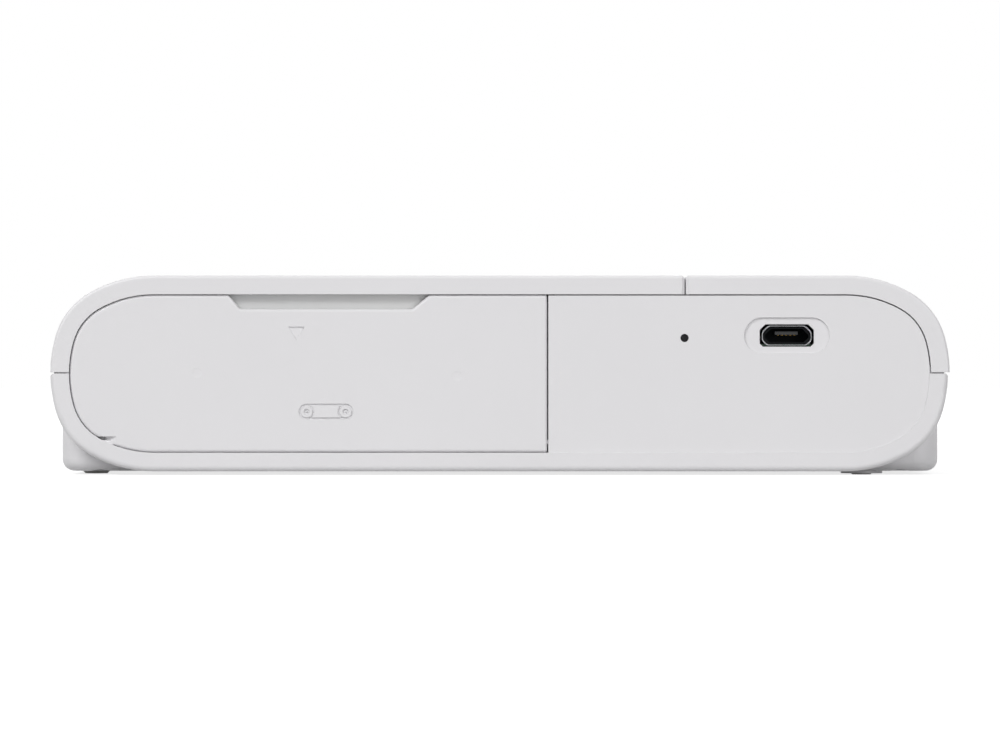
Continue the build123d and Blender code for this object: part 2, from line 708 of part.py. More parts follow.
def ink_door():
    inset = band + door_gap
    y = (-panel_y, -panel_y + door_thickness)
    door = along_y(end_outline(inset), y) & left_of(door_right)
    upright = [edge for edge in door.edges().filter_by(Axis.Y) if abs(edge.center().X - door_right) < 1e-3]
    door = fillet(upright, door_corner)
    top = top_z - inset + 1
    slope_left = (notch_floor[0] - notch_top[0]) / (top_z - inset - notch_floor_z)
    slope_right = (notch_floor[1] - notch_top[1]) / (top_z - inset - notch_floor_z)
    notch = polygon([(notch_floor[0], notch_floor_z), (notch_floor[1], notch_floor_z),
                     (notch_top[1] - slope_right, top), (notch_top[0] - slope_left, top)])
    notch = fillet(notch.vertices().filter_by(lambda v: v.Y < notch_floor_z + 0.01), notch_corner)
    door -= along_y(notch, (y[0] - 1, y[1] + 1))
    door = fillet(door.faces().sort_by(Axis.Y)[0].edges(), door_edge)
    rib_y = (y[1] - 0.1, y[1] + door_rib)
    for x in door_rib_x:
        door += block((x - rib_thickness / 2, x + rib_thickness / 2), rib_y, door_rib_z)
    for z in door_rib_z:
        door += block(door_rib_span, rib_y, (z, z + door_rib_width))
    # snap tongues that reach below the tray's front rail
    tongue_z = (door_rib_z[1], door_rib_z[1] + snap_height)
    for x in snap_x:
        span = (x - snap_half_width, x + snap_half_width)
        door += block(span, (y[1] - 0.1, y[1] + snap_reach), tongue_z)
        door += block(span, (y[1] + snap_reach - snap_hook, y[1] + snap_reach),
                      (tongue_z[1] - 0.1, tongue_z[1] + 0.4))
    # outer corner relieved round the left stub, so that the open door clears the band
    stub = left_pin_x()
    slope = [(stub[1], y[0] - 1), (stub[1], y[0]), (stub[0] + 2.0, y[0] + relief_depth),
             (stub[0], y[0] + relief_depth), (stub[0], y[0] - 1)]
    door -= extrude(Plane.XY * polygon(slope), door_pivot_z + relief_height, dir=(0, 0, 1))
    pivot = (door_pivot_y, door_pivot_z)
    door += rod("X", pivot, (stub[0], stub[1] + 1.5), door_pin_radius)
    door += rod("X", pivot, (door_right - 1.0, panel_left + door_pin_reach), door_pin_radius)
    return door


def rubber_feet():
    feet = []
    for side in (-1, 1):
        for spot, radius in ((left_foot, left_foot_radius), (right_foot, right_foot_radius)):
            foot = rod("Z", (spot[0], side * spot[1]), (0, bottom_z + foot_recess - fit), radius)
            feet.append(chamfer(foot.faces().sort_by(Axis.Z)[0].edges(), foot_chamfer))
    return group(feet)


def case_screws():
    screws = []
    for side in (-1, 1):
        for x, y in (screw_left, screw_right):
            spot = (x, side * y)
            head_z = (bottom_z + 0.3, bottom_z + 0.3 + screw_head_height)
            screw = rod("Z", spot, head_z, screw_head_radius)
            screw += rod("Z", spot, (head_z[0], head_z[0] + screw_length), screw_radius)
            screw -= Pos(spot[0], spot[1], head_z[0]) * Box(2.0, 0.5, 0.8)
            screw -= Pos(spot[0], spot[1], head_z[0]) * Box(0.5, 2.0, 0.8)
            screws.append(screw)
    return group(screws)


# Paper tray

def paper_tray():
    low, floor = tray_floor_z, tray_floor_z + tray_wall
    high = floor + tray_height - 1.0
    x, y = tray_x, tray_half_width
    tray = block(x, (-y, y), (low, high))
    tray -= block((x[0] + tray_wall, x[1] - tray_wall), (tray_wall - y, y - tray_wall), (floor, high + 1))
    # gap below the end wall, where the lowest sheet leaves
    tray -= block((x[1] - tray_wall - 0.1, x[1] + 1), (-paper_half_width, paper_half_width),
                  (floor, floor + 0.8))
    for side in (-1, 1):
        # feed slots, and a ledge that rests on the side plates
        tray -= block((feed_spot[0] - feed_radius - 0.6, feed_spot[0] + feed_radius + 0.6),
                      both_sides(feed_slot_y, side), (low - 1, floor + 0.1))
        ledge_reach = inner_width - lap_gap if side < 0 else lever_y[0] - 1.4
        ledge_x = (x[0], rail_end_x) if side < 0 else (x[0], 11.0)
        tray += block(ledge_x, both_sides((y - 0.1, ledge_reach), side), (tray_ledge_z, tray_ledge_z + 1))
        spot = (screw_left[0], side * screw_left[1])
        tray += rod("Z", spot, (boss_split_z + 0.2, tray_ledge_z + 1), boss_radius - 0.3)
        tray += block((spot[0], x[0] + 1), both_sides((spot[1] * side - 2, spot[1] * side + 2), side),
                      (tray_ledge_z, tray_ledge_z + 1))
        tray -= rod("Z", spot, (boss_split_z, screw_length + 3.5), screw_radius + 0.03)
    # front rail behind the doorway's upper rim, which shows through the door's finger notch
    rail_y = (lap_gap - inner_width, lap_gap - inner_width + rib_thickness)
    rim = end_outline(wall + rail_gap)
    ring = along_y(rim - end_outline(band + door_gap + backing), rail_y) & above(parting_z + seam_gap)
    rail = along_y(rim, rail_y) & above(tray_ledge_z) & right_of(x[0])
    rail = (rail + ring) & left_of(rail_end_x)
    return tray + rail


# Chassis

def plate_outline():
    x, z = plate_x, plate_z
    cut = 6.0
    return polygon([(x[0] + cut, z[0]), (x[1], z[0]), (x[1], z[1] - cut), (x[1] - cut / 2, z[1]),
                    (x[0], z[1]), (x[0], z[0] + cut)])


def bush_seats():
    """Journal radius and sleeve radius of each roller's bush."""
    return ((grip_spot, grip_journal, 2.0, 2.3), (pinch_spot, pinch_journal, 1.6, 1.9),
            (platen_spot, platen_journal, 1.8, 2.3), (feed_spot, feed_journal, 2.0, 2.5))


def bush_holes(y):
    holes = [rod("Y", spot, (y - 2, y + 3), sleeve + 0.03) for spot, journal, sleeve, flange in bush_seats()]
    holes += [rod("Y", spot, (y - 2, y + 3), tie_rod_radius - 0.37) for spot in tie_rod_spots]
    return holes


def front_side_plate():
    y = (front_plate_y, front_plate_y + plate_thickness)
    plate = along_y(plate_outline(), y)
    plate -= block((supply_spot[0] - housing_radius - 0.4, take_up_spot[0] + housing_radius + 0.4),
                   (y[0] - 1, y[1] + 1), (plate_z[0] + 0.3, ribbon_z + 0.8))
    for hole in bush_holes(y[0]):
        plate -= hole
    plate -= rod("Y", eject_pivot, (y[0] - 1, y[1] + 1), 0.8)
    return plate


def rear_side_plate():
    y = (rear_plate_y, rear_plate_back)
    plate = along_y(plate_outline(), y)
    for hole in bush_holes(y[0]):
        plate -= hole
    for spot, radius in ((take_up_spot, 1.7), (supply_spot, hub_radius + 0.02),
                         (head_pivot, head_pivot_radius + 0.03),
                         (motor_spot, 2.0), (compound_spot, 0.6), (idler_spot, 0.6)):
        plate -= rod("Y", spot, (y[0] - 1, y[1] + 1), radius)
    return plate


def tie_rods():
    """Rods between the side plates, with shouldered ends riveted through them."""
    span = (front_plate_y + plate_thickness + 0.02, rear_plate_y - 0.02)
    ends = (front_plate_y - 0.4, rear_plate_back + 0.4)
    return group(rod("Y", spot, span, tie_rod_radius) + rod("Y", spot, ends, tie_rod_radius - 0.4)
                 for spot in tie_rod_spots)


def roller_bushes():
    bushes = []
    for spot, journal, sleeve, flange in bush_seats():
        for start, out in ((front_plate_y, -1), (rear_plate_back, 1)):
            sleeve_y = sorted((start, start - out * plate_thickness))
            flange_y = sorted((start + out * 0.05, start + out * 0.6))
            bush = rod("Y", spot, (min(sleeve_y[0], flange_y[0]), max(sleeve_y[1], flange_y[1])), sleeve)
            bush += rod("Y", spot, flange_y, flange)
            bushes.append(bush - rod("Y", spot, (start - 5, start + 5), journal + fit))
    return group(bushes)


def gear_studs():
    """Riveted studs on the rear plate that carry the idler and the compound gear."""
    studs = []
    for spot, end in ((idler_spot, gear_y[1] + 0.4), (compound_spot, outer_gear_y[1] + 0.4)):
        stud = rod("Y", spot, (rear_plate_back + 0.02, rear_plate_back + 0.8), 1.5)
        stud += rod("Y", spot, (rear_plate_y - 0.3, rear_plate_back + 0.5), 0.58)
        studs.append(stud + rod("Y", spot, (rear_plate_back + 0.5, end), stud_radius))
    return group(studs)


# Gears

def flank_widths(teeth):
    """Radius and half angle of a tooth at its root, pitch line and tip."""
    pitch_radius = module * teeth / 2
    half_width_at_pitch = (math.pi * module / 2 - backlash) / 2
    widths = []
    for rise in (-1.2 * module, 0.0, 0.85 * module):
        radius = pitch_radius + rise
        half = half_width_at_pitch - rise * math.tan(math.radians(pressure_turn))
        widths.append((radius, math.degrees(half / radius)))
    return widths


def gear_outline(teeth, start):
    root, pitch, tip = flank_widths(teeth)
    flanks = [(root[0], -root[1]), (pitch[0], -pitch[1]), (tip[0], -tip[1]),
              (tip[0], tip[1]), (pitch[0], pitch[1]), (root[0], root[1])]
    points = []
    for tooth in range(teeth):
        middle = start + 360 / teeth * tooth
        for radius, turn in flanks:
            points.append(offset_spot((0, 0), radius, middle + turn))
    return polygon(points)


def gear(teeth, start, spot, y, bore):
    face = Pos(*spot) * (gear_outline(teeth, start) - Circle(bore))
    return along_y(face, y)


def meshed_start(start, teeth, spot, other_teeth, other_spot):
    """The angle of one tooth of a gear that meshes with another at rest."""
    direction = math.degrees(math.atan2(other_spot[1] - spot[1], other_spot[0] - spot[0]))
    shift = (start - direction) * teeth / other_teeth
    return direction + 180 - shift + 180 / other_teeth


grip_start = 0.0
idler_start = meshed_start(grip_start, grip_teeth, grip_spot, idler_teeth, idler_spot)
feed_start = meshed_start(idler_start, idler_teeth, idler_spot, feed_teeth, feed_spot)
take_up_start = meshed_start(grip_start, grip_teeth, grip_spot, take_up_teeth, take_up_spot)
compound_start = meshed_start(grip_start, grip_teeth, grip_spot, small_teeth, compound_spot)
pinion_start = meshed_start(compound_start, big_teeth, compound_spot, pinion_teeth, motor_spot)


def grip_gear():
    return gear(grip_teeth, grip_start, grip_spot, gear_y, grip_journal + 0.01)


def feed_gear():
    return gear(feed_teeth, feed_start, feed_spot, gear_y, feed_journal + 0.01)


def take_up_gear():
    return gear(take_up_teeth, take_up_start, take_up_spot, gear_y, spindle_radius + 0.01)


def idler_gear():
    return gear(idler_teeth, idler_start, idler_spot, gear_y, stud_radius + fit)


def compound_gear():
    bore = stud_radius + fit
    body = gear(small_teeth, compound_start, compound_spot, (gear_y[0], outer_gear_y[0] + 0.1), bore)
    return body + gear(big_teeth, compound_start, compound_spot, outer_gear_y, bore)


def motor_pinion():
    return gear(pinion_teeth, pinion_start, motor_spot, outer_gear_y, motor_shaft_radius + 0.01)


def motor_shaft():
    return rod("Y", motor_spot, (rear_plate_y + 0.3, outer_gear_y[1] + 0.3), motor_shaft_radius)


def motor_can():
    end = rear_plate_y - 0.1
    can = rod("Y", motor_spot, (end - motor_length, end), motor_radius)
    can = fillet(can.faces().sort_by(Axis.Y)[0].edges(), 0.8)
    can += rod("Y", motor_spot, (end - motor_length - 1.2, end), 2.2)
    return can + tube("Y", motor_spot, (end - 0.2, end + 0.3), 1.9, 0.9)


# Rollers

def grip_roller():
    roller = rod("Y", grip_spot, (front_plate_y + plate_thickness + 0.3, rear_plate_y - 0.3), grip_radius)
    return roller + rod("Y", grip_spot, (front_plate_y - 1.2, gear_y[1] + 0.2), grip_journal)


def pinch_roller():
    return rod("Y", pinch_spot, (front_plate_y - 0.4, rear_plate_back + 0.4), pinch_journal)


def tyre_set(spot, middles, length, radius, bore):
    return group(tube("Y", spot, (y - length / 2, y + length / 2), radius, bore) for y in middles)


def pinch_tyres():
    return tyre_set(pinch_spot, pinch_tyre_y, pinch_tyre_length, pinch_radius, pinch_journal + 0.01)


def feed_shaft():
    return rod("Y", feed_spot, (front_plate_y - 1.2, gear_y[1] + 0.2), feed_journal)


def feed_tyres():
    return tyre_set(feed_spot, feed_tyre_y, feed_tyre_length, feed_radius, feed_journal + 0.01)


def platen_shaft():
    return rod("Y", platen_spot, (front_plate_y - 0.5, rear_plate_back + 0.5), platen_journal)


def platen_rubber():
    span = (-platen_half_width, platen_half_width)
    return tube("Y", platen_spot, span, platen_radius, platen_journal + 0.01)


# Thermal head

def head_carrier():
    x, z = head_pivot
    outline = polygon([(x, z - 1.8), (x + 12, z - 1.8), (platen_x + 2.2, z + 0.6),
                       (platen_x + 2.2, head_top_z - 1.0),
                       (platen_x - 6.0, head_top_z - 1.0), (x + 10, z + 1.9), (x, z + 2.4)])
    outline += Pos(x, z) * Circle(2.6)
    outline -= Pos(x, z) * Circle(head_pivot_radius + fit)
    carrier = along_y(outline, (-head_half_width, head_half_width))
    # lightening pockets from below, with the sink between the two middle ribs
    for y in pocket_y:
        carrier -= block((x + 4.5, platen_x - 1.0), (y - pocket_half_width, y + pocket_half_width),
                         (z - 3, z + 0.6))
    return carrier


def head_heat_sink():
    x, z = head_pivot
    span = (x + 4.5 + pocket_wall_gap, platen_x - 1.0 - pocket_wall_gap)
    half = pocket_half_width - pocket_wall_gap
    fin_steps = round((half - fin_thickness / 2) / fin_pitch - 0.49)
    sinks = []
    for y in pocket_y:
        sink = block(span, (y - half, y + half), (z - 0.6, z + 0.5))
        for step in range(-fin_steps, fin_steps + 1):
            fin_y = y + fin_pitch * step
            sink += block(span, (fin_y - fin_thickness / 2, fin_y + fin_thickness / 2), (z - 2.2, z - 0.5))
        sinks.append(sink)
    return group(sinks)


def heating_strip():
    strip = block((platen_x - strip_reach[0], platen_x + strip_reach[1]),
                  (-head_half_width, head_half_width), (head_top_z - 0.98, head_top_z - 0.25))
    line = block((platen_x - 0.6, platen_x + 0.6), (-head_half_width + 1, head_half_width - 1),
                 (head_top_z - 0.3, head_top_z))
    return strip + line


def head_pivot_shaft():
    return rod("Y", head_pivot, (-pedestal_y[1] - 0.4, rear_plate_back + 0.3), head_pivot_radius)


# Ink cassette

def housing_outline(radius):
    """Two round spool housings, squared towards the ribbon, seen from the front."""
    reach = supply_spot[0] + radius
    supply = Pos(*supply_spot) * Circle(radius)
    supply += polygon([supply_spot, (reach, spool_z), (reach, spool_z + radius),
                       (supply_spot[0], spool_z + radius)])
    take_up = Pos(*take_up_spot) * Circle(radius)
    near = take_up_spot[0] - radius
    take_up += polygon([take_up_spot, (near, spool_z), (near, spool_z + radius),
                        (take_up_spot[0], spool_z + radius)])
    return supply + take_up


def ribbon_path():
    """The ribbon's way from the supply roll over two guide edges to the take-up roll."""
    guide = housing_radius - 0.2
    return [(supply_spot[0], spool_z + supply_roll + 0.15), (supply_spot[0] + guide, ribbon_z),
            (take_up_spot[0] - guide, ribbon_z), (take_up_spot[0], spool_z + take_up_roll + 0.15)]


def ribbon():
    path = ribbon_path()
    upper = [(x, z + 0.1) for x, z in reversed(path)]
    return along_y(polygon(path + upper), (-ribbon_half_width, ribbon_half_width))


def cassette_body():
    y = cassette_y
    body = along_y(housing_outline(housing_radius), y)
    body -= along_y(housing_outline(housing_radius - housing_wall), (y[0] + 1.2, y[1] - 1.2))
    # slot for the ribbon through both inner walls
    path = ribbon_path()
    low = [(x, z - 0.3) for x, z in path]
    high = [(x, z + 0.45) for x, z in reversed(path)]
    body -= along_y(polygon(low + high), (-ribbon_half_width - 0.6, ribbon_half_width + 0.6))
    bars_x = (supply_spot[0] + housing_radius - 0.5, take_up_spot[0] - housing_radius + 0.5)
    bar_z = (spool_z + housing_radius - bar_height, spool_z + housing_radius)
    front_z = (spool_z - housing_radius + 1.5, bar_z[1])
    body += block(bars_x, (y[0], y[0] + 1.5), front_z) + block(bars_x, (y[0], y[0] + bar_width), bar_z)
    body += block(bars_x, (y[1] - bar_back_width, y[1]), bar_z)
    for spot in (supply_spot, take_up_spot):
        body -= rod("Y", spot, (y[0] - 1, y[1] + 1), spool_radius + fit)
    # grip ribs on the front bar
    for x in range(-31, -18, 3):
        body += block((x, x + 1.0), (y[0] - 0.5, y[0] + 0.1), (bar_z[0] + 0.3, bar_z[1] - 0.3))
    # lug that the eject lever holds
    body += block((supply_spot[0] - housing_radius - 1.6, supply_spot[0] - housing_radius + 0.5),
                  (y[0], y[0] + 1.2), (spool_z - 1.0, spool_z + 2.5))
    return body


def cassette_upper():
    return cassette_body() & above(spool_z + fit)


def cassette_lower():
    return cassette_body() & below(spool_z - fit)


def spool(spot, roll_radius):
    y = cassette_y
    core = rod("Y", spot, (y[0] + 0.2, y[1] - 0.2), spool_radius)
    core += rod("Y", spot, (-ribbon_half_width, ribbon_half_width), roll_radius)
    for flange_y in (-ribbon_half_width - 1.0, ribbon_half_width + 0.2):
        core += rod("Y", spot, (flange_y, flange_y + 0.8), 4.3)
    return core - rod("Y", spot, (y[1] - 8, y[1] + 1), spool_bore)


def supply_spool():
    return spool(supply_spot, supply_roll)


def take_up_spool():
    return spool(take_up_spot, take_up_roll)


def take_up_spindle():
    spindle = rod("Y", take_up_spot, (cassette_y[1] - 6.5, gear_y[1] + 0.2), spindle_radius)
    collar_y = (cassette_y[1] + 0.3, rear_plate_y - 0.1)
    return spindle + tube("Y", take_up_spot, collar_y, 1.6, spindle_radius - 0.1)


def supply_hub():
    hub = rod("Y", supply_spot, (cassette_y[1] - 5.0, rear_plate_back + 0.3), spindle_radius)
    return hub + rod("Y", supply_spot, (rear_plate_y - 0.02, rear_plate_back + 0.3), hub_radius)


def eject_lever():
    """A latch on the front plate whose nose stands before the cassette's lug."""
    x, z = eject_pivot
    y = (front_plate_y - 1.9, front_plate_y - 0.4)
    lug_left = supply_spot[0] - housing_radius - 1.6
    lever = along_y(Pos(x, z) * Circle(2.0), y) + block((x - 1.0, x + 1.0), y, (z, z + 9.5))
    lever += block((x - 0.9, lug_left - 0.3), y, (spool_z - 0.5, spool_z + 1.8))
    lever += block((x - 1.0, x + 1.0), (y[0] - 1.6, y[1]), (z + 7.5, z + 9.5))
    return lever + rod("Y", eject_pivot, (y[0], front_plate_y + plate_thickness + 0.3), 0.75)


# Battery, board and sockets

def battery_pack():
    pack = block(battery_x, (-battery_half_width, battery_half_width), battery_z)
    pack = fillet(pack.edges().filter_by(Axis.Y), 2.5)
    plug_y = (battery_half_width - 0.1, battery_half_width + 0.25)
    return pack + block((battery_x[0] + 4, battery_x[0] + 16), plug_y,
                        (battery_z[0] + 4.4, battery_z[1] - 2.0))


def main_board():
    z = (board_z, board_z + board_thickness)
    tab_x, tab_y = board_posts[2]
    board = block(board_x, board_y, z)
    board += block((tab_x - 3.5, tab_x + 3.5), (board_y[1] - 1, tab_y + 2.7), z)
    # corner cut back round the case boss
    board -= block((screw_right[0] - boss_radius - 0.4, far), (-far, boss_radius + 0.4 - screw_right[1]), z)
    for spot in board_posts:
        board -= rod("Z", spot, (z[0] - 1, z[1] + 1), 1.1)
    return board


def on_board(x, y, size, corner=0.0):
    top = board_z + board_thickness
    piece = block((x - size[0] / 2, x + size[0] / 2), (y - size[1] / 2, y + size[1] / 2),
                  (top + 0.02, top + size[2]))
    return fillet(piece.edges().filter_by(Axis.Z), corner) if corner else piece


def shield_span(margins):
    """Middle X and length of a shield can that keeps the given margins from the board's edges."""
    left, right = board_x[0] + margins[0], board_x[1] - margins[1]
    return (left + right) / 2, right - left


def board_shields():
    large_x, large_length = shield_span(shield_margins)
    small_x, small_length = shield_span((shield_margins[0] - 1.5, shield_margins[1] + 6.5))
    return group((on_board(large_x, board_y[1] - 26, (large_length, 18, 1.8), shield_corner),
                  on_board(small_x, -12, (small_length, 10, 1.6), shield_corner)))


def board_chips():
    left, right, rear = board_x[0], board_x[1], board_y[1]
    return group((on_board(right - 3.5, -24, (5, 5, 0.9)), on_board(right - 5.5, -10, (7, 7, 1.0)),
                  on_board(left + 5.4, rear - 10, (6, 8, 1.2)), on_board(right - 6.5, rear - 8, (5, 5, 2.4)),
                  on_board(left + 3.4, -20, (4, 3, 1.0))))


def board_connectors():
    left, right = board_x
    return group((on_board(left + 3.4, board_y[1] - 28, (4, 17, 2.0)),
                  on_board(left + 11.4, board_y[1] - 3, (9, 3.2, 3.4)),
                  on_board(right - 4.5, board_y[0] + 12, (3.2, 5, 3.0))))


def board_screws():
    z = board_z + board_thickness
    return group(rod("Z", spot, (z + 0.02, z + 0.9), 1.5) + rod("Z", spot, (board_z + 0.05, z + 0.3), 1.0)
                 for spot in board_posts)


def usb_shell():
    centre = port_spot
    front = -panel_y + 1.0
    back = front + socket_depth
    outer = port_outline(socket_size, socket_corners, centre)
    inner_size = (socket_size[0] - 2 * socket_wall, socket_size[1] - 2 * socket_wall)
    inner = port_outline(inner_size, socket_corners, centre)
    shell = along_y(outer, (front, back)) - along_y(inner, (front - 1, back - 0.4))
    lip_inner = (socket_lip_size[0] - 2 * socket_wall, socket_lip_size[1] - 2 * socket_wall)
    lip = along_y(port_outline(socket_lip_size, socket_corners, centre)
                  - port_outline(lip_inner, socket_corners, centre), (front - 0.3, front + 0.4))
    return shell + lip


def usb_tongue():
    back = -panel_y + 1.0 + socket_depth
    x, z = port_spot
    return block((x - 1.85, x + 1.85), (-panel_y + 1.5, back - 0.45), (z + 0.1, z + 0.7))


def reset_board():
    x, z = pinhole_spot
    return block((x - 4.15, x + 4.15), reset_board_y(), (z - 3.0, z + 3.8))


def reset_switch():
    x, z = pinhole_spot
    y = (-inner_width + 0.6, reset_board_y()[0] - 0.02)
    body = block((x - 2, x + 2), y, (z - 2, z + 2))
    return body - rod("Y", pinhole_spot, (y[0] - 1, y[0] + 0.8), 0.85)


def reset_plunger():
    start = -inner_width + 0.6
    return rod("Y", pinhole_spot, (start - 0.35, start + 0.45), 0.8)


def power_switch():
    top = board_z + board_thickness
    x, y = button_spot
    body = block((x - 2.6, x + 2.6), (y - 2.6, y + 2.6), (top + 0.02, top + switch_height))
    return body + rod("Z", button_spot, (top + 0.1, top + switch_height + switch_stem), 1.6)


def power_button():
    cap_top = top_z - 0.1
    flange_z = (skin_z - 1.2, skin_z - 0.5)
    cap = rod("Z", button_spot, (flange_z[0], cap_top), button_radius)
    cap = fillet(cap.faces().sort_by(Axis.Z)[-1].edges(), 0.3)
    cap += rod("Z", button_spot, flange_z, button_radius + flange_width - 0.4)
    stem_low = board_z + board_thickness + switch_height + switch_stem + button_travel + 0.1
    return cap + rod("Z", button_spot, (stem_low, flange_z[0] + 0.1), 1.4)


def power_light_ring():
    inner = button_radius + fit * 2
    ring = tube("Z", button_spot, (skin_z - 0.3, top_z - 0.1), inner + ring_width, inner)
    return ring + tube("Z", button_spot, (skin_z - 0.4, skin_z - 0.05), inner + ring_width + 0.8, inner)


def release_lever():
    lever = block(lever_x, lever_y, lever_z)
    knob = block(knob_x, (lever_y[1] - 0.1, panel_y - 0.05), knob_z)
    for step in range(4):
        x = knob_x[0] + 0.5 + step
        knob -= block((x, x + 0.4), (panel_y - 0.45, half_width), (knob_z[0] - 1, knob_z[1] + 1))
    lever += knob
    # nose towards the cover's catch
    nose_z = lever_z[1] + 1.7
    lever += block(lever_nose_x, lever_y, (lever_z[1] - 0.1, nose_z))
    return lever + block((catch_x[1] + 1.2, lever_nose_x[0] + 0.5), lever_y, (nose_z - 1.0, nose_z))


nodes = {
    "lower_case": lower_case,
    "rear_top_case": rear_top_case,
    "paper_cover": paper_cover,
    "cover_inner_frame": cover_inner_frame,
    "pressure_pads": pressure_pads,
    "hinge_pins": hinge_pins,
    "ink_door": ink_door,
    "rubber_feet": rubber_feet,
    "case_screws": case_screws,
    "paper_tray": paper_tray,
    "front_side_plate": front_side_plate,
    "rear_side_plate": rear_side_plate,
    "tie_rods": tie_rods,
    "roller_bushes": roller_bushes,
    "gear_studs": gear_studs,
    "grip_gear": grip_gear,
    "feed_gear": feed_gear,
    "take_up_gear": take_up_gear,
    "idler_gear": idler_gear,
    "compound_gear": compound_gear,
    "motor_pinion": motor_pinion,
    "motor_shaft": motor_shaft,
    "motor_can": motor_can,
    "grip_roller": grip_roller,
    "pinch_roller": pinch_roller,
    "pinch_tyres": pinch_tyres,
    "feed_shaft": feed_shaft,
    "feed_tyres": feed_tyres,
    "platen_shaft": platen_shaft,
    "platen_rubber": platen_rubber,
    "head_carrier": head_carrier,
    "head_heat_sink": head_heat_sink,
    "heating_strip": heating_strip,
    "head_pivot_shaft": head_pivot_shaft,
    "cassette_upper": cassette_upper,
    "cassette_lower": cassette_lower,
    "supply_spool": supply_spool,
    "take_up_spool": take_up_spool,
    "ribbon": ribbon,
    "take_up_spindle": take_up_spindle,
    "supply_hub": supply_hub,
    "eject_lever": eject_lever,
    "battery_pack": battery_pack,
    "main_board": main_board,
    "board_shields": board_shields,
    "board_chips": board_chips,
    "board_connectors": board_connectors,
    "board_screws": board_screws,
    "usb_shell": usb_shell,
    "usb_tongue": usb_tongue,
    "reset_board": reset_board,
    "reset_switch": reset_switch,
    "reset_plunger": reset_plunger,
    "power_switch": power_switch,
    "power_button": power_button,
    "power_light_ring": power_light_ring,
    "release_lever": release_lever,
}

os.makedirs("parts", exist_ok=True)
for name, build in nodes.items():
    export_step(build(), f"parts/{name}.step")
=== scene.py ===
import json
import math

import bmesh
import bpy
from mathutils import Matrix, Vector


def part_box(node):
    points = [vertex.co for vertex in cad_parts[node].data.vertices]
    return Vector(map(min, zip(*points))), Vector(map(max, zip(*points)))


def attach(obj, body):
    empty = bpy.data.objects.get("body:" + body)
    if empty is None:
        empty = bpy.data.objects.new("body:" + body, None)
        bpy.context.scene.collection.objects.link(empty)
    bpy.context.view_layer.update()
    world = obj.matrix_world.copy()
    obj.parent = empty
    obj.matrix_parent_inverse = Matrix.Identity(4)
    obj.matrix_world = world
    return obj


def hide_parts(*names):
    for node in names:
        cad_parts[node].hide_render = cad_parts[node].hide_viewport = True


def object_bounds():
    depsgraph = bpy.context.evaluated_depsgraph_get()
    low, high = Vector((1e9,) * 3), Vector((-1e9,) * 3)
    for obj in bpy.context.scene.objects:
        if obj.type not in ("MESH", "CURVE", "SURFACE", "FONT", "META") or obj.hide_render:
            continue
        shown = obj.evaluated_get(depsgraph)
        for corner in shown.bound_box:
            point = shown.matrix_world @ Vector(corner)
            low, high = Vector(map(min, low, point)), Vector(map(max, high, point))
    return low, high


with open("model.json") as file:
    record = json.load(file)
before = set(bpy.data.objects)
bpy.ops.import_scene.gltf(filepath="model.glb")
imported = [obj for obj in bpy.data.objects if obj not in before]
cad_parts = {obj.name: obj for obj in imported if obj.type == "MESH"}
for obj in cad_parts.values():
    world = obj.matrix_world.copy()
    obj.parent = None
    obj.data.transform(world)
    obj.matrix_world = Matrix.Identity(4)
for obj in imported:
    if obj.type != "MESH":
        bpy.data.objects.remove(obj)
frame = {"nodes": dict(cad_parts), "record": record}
cadLow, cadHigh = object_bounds()
mm = 0.001
print("frame loaded:", len(frame["nodes"]), "nodes")


# Camera: level, in front of the long side with the ink door, through a long lens
cameraSettings = {
    "distance": 950,        # mm from the near side
    "pixelsPerMm": 6.28,    # on the near side, in a picture of this width
    "pictureWidth": 1000,
    "height": 15.96,        # mm above the floor
    "sensor": 36,
    "clip": (0.05, 20),     # metres
}


def makeCamera():
    settings = cameraSettings
    data = bpy.data.cameras.new("studioCamera")
    data.sensor_width = settings["sensor"]
    pixel = settings["sensor"] / settings["pictureWidth"]
    data.lens = settings["pixelsPerMm"] * pixel * settings["distance"]
    data.clip_start, data.clip_end = settings["clip"]
    camera = bpy.data.objects.new("studioCamera", data)
    bpy.context.scene.collection.objects.link(camera)
    camera.location = (0, cadLow.y - settings["distance"] * mm, settings["height"] * mm)
    camera.rotation_euler = (math.radians(90), 0, 0)
    bpy.context.scene.camera = camera


# Node trees

def linearColour(hexColour):
    channels = [int(hexColour[i:i + 2], 16) / 255 for i in (0, 2, 4)]
    linear = [c / 12.92 if c <= 0.04045 else ((c + 0.055) / 1.055) ** 2.4 for c in channels]
    return (*linear, 1.0)


# settings are sockets or properties by name, links are sockets fed by other nodes' outputs
def addNode(tree, kind, settings=None, links=None):
    node = tree.nodes.new(kind)
    for name, value in (settings or {}).items():
        if isinstance(name, int) or name in node.inputs:
            node.inputs[name].default_value = value
        else:
            setattr(node, name, value)
    for name, source in (links or {}).items():
        tree.links.new(source, node.inputs[name])
    return node


def newTree(name):
    material = bpy.data.materials.new(name)
    material.use_nodes = True
    material.node_tree.nodes.clear()
    return material, material.node_tree


def finishTree(tree, shaderOutput):
    addNode(tree, "ShaderNodeOutputMaterial", links={"Surface": shaderOutput})


# Object coordinates in metres, stretched along the axes
def objectPoint(tree, stretch=(1, 1, 1)):
    coordinates = addNode(tree, "ShaderNodeTexCoord")
    return addNode(tree, "ShaderNodeMapping", {"Scale": stretch},
                   {"Vector": coordinates.outputs["Object"]}).outputs["Vector"]


# Noise whose blotches are about sizeMm wide
def noise(tree, sizeMm, stretch=(1, 1, 1), detail=2.0):
    return addNode(tree, "ShaderNodeTexNoise", {"Scale": 1 / (sizeMm * mm), "Detail": detail},
                   {"Vector": objectPoint(tree, stretch)}).outputs["Fac"]


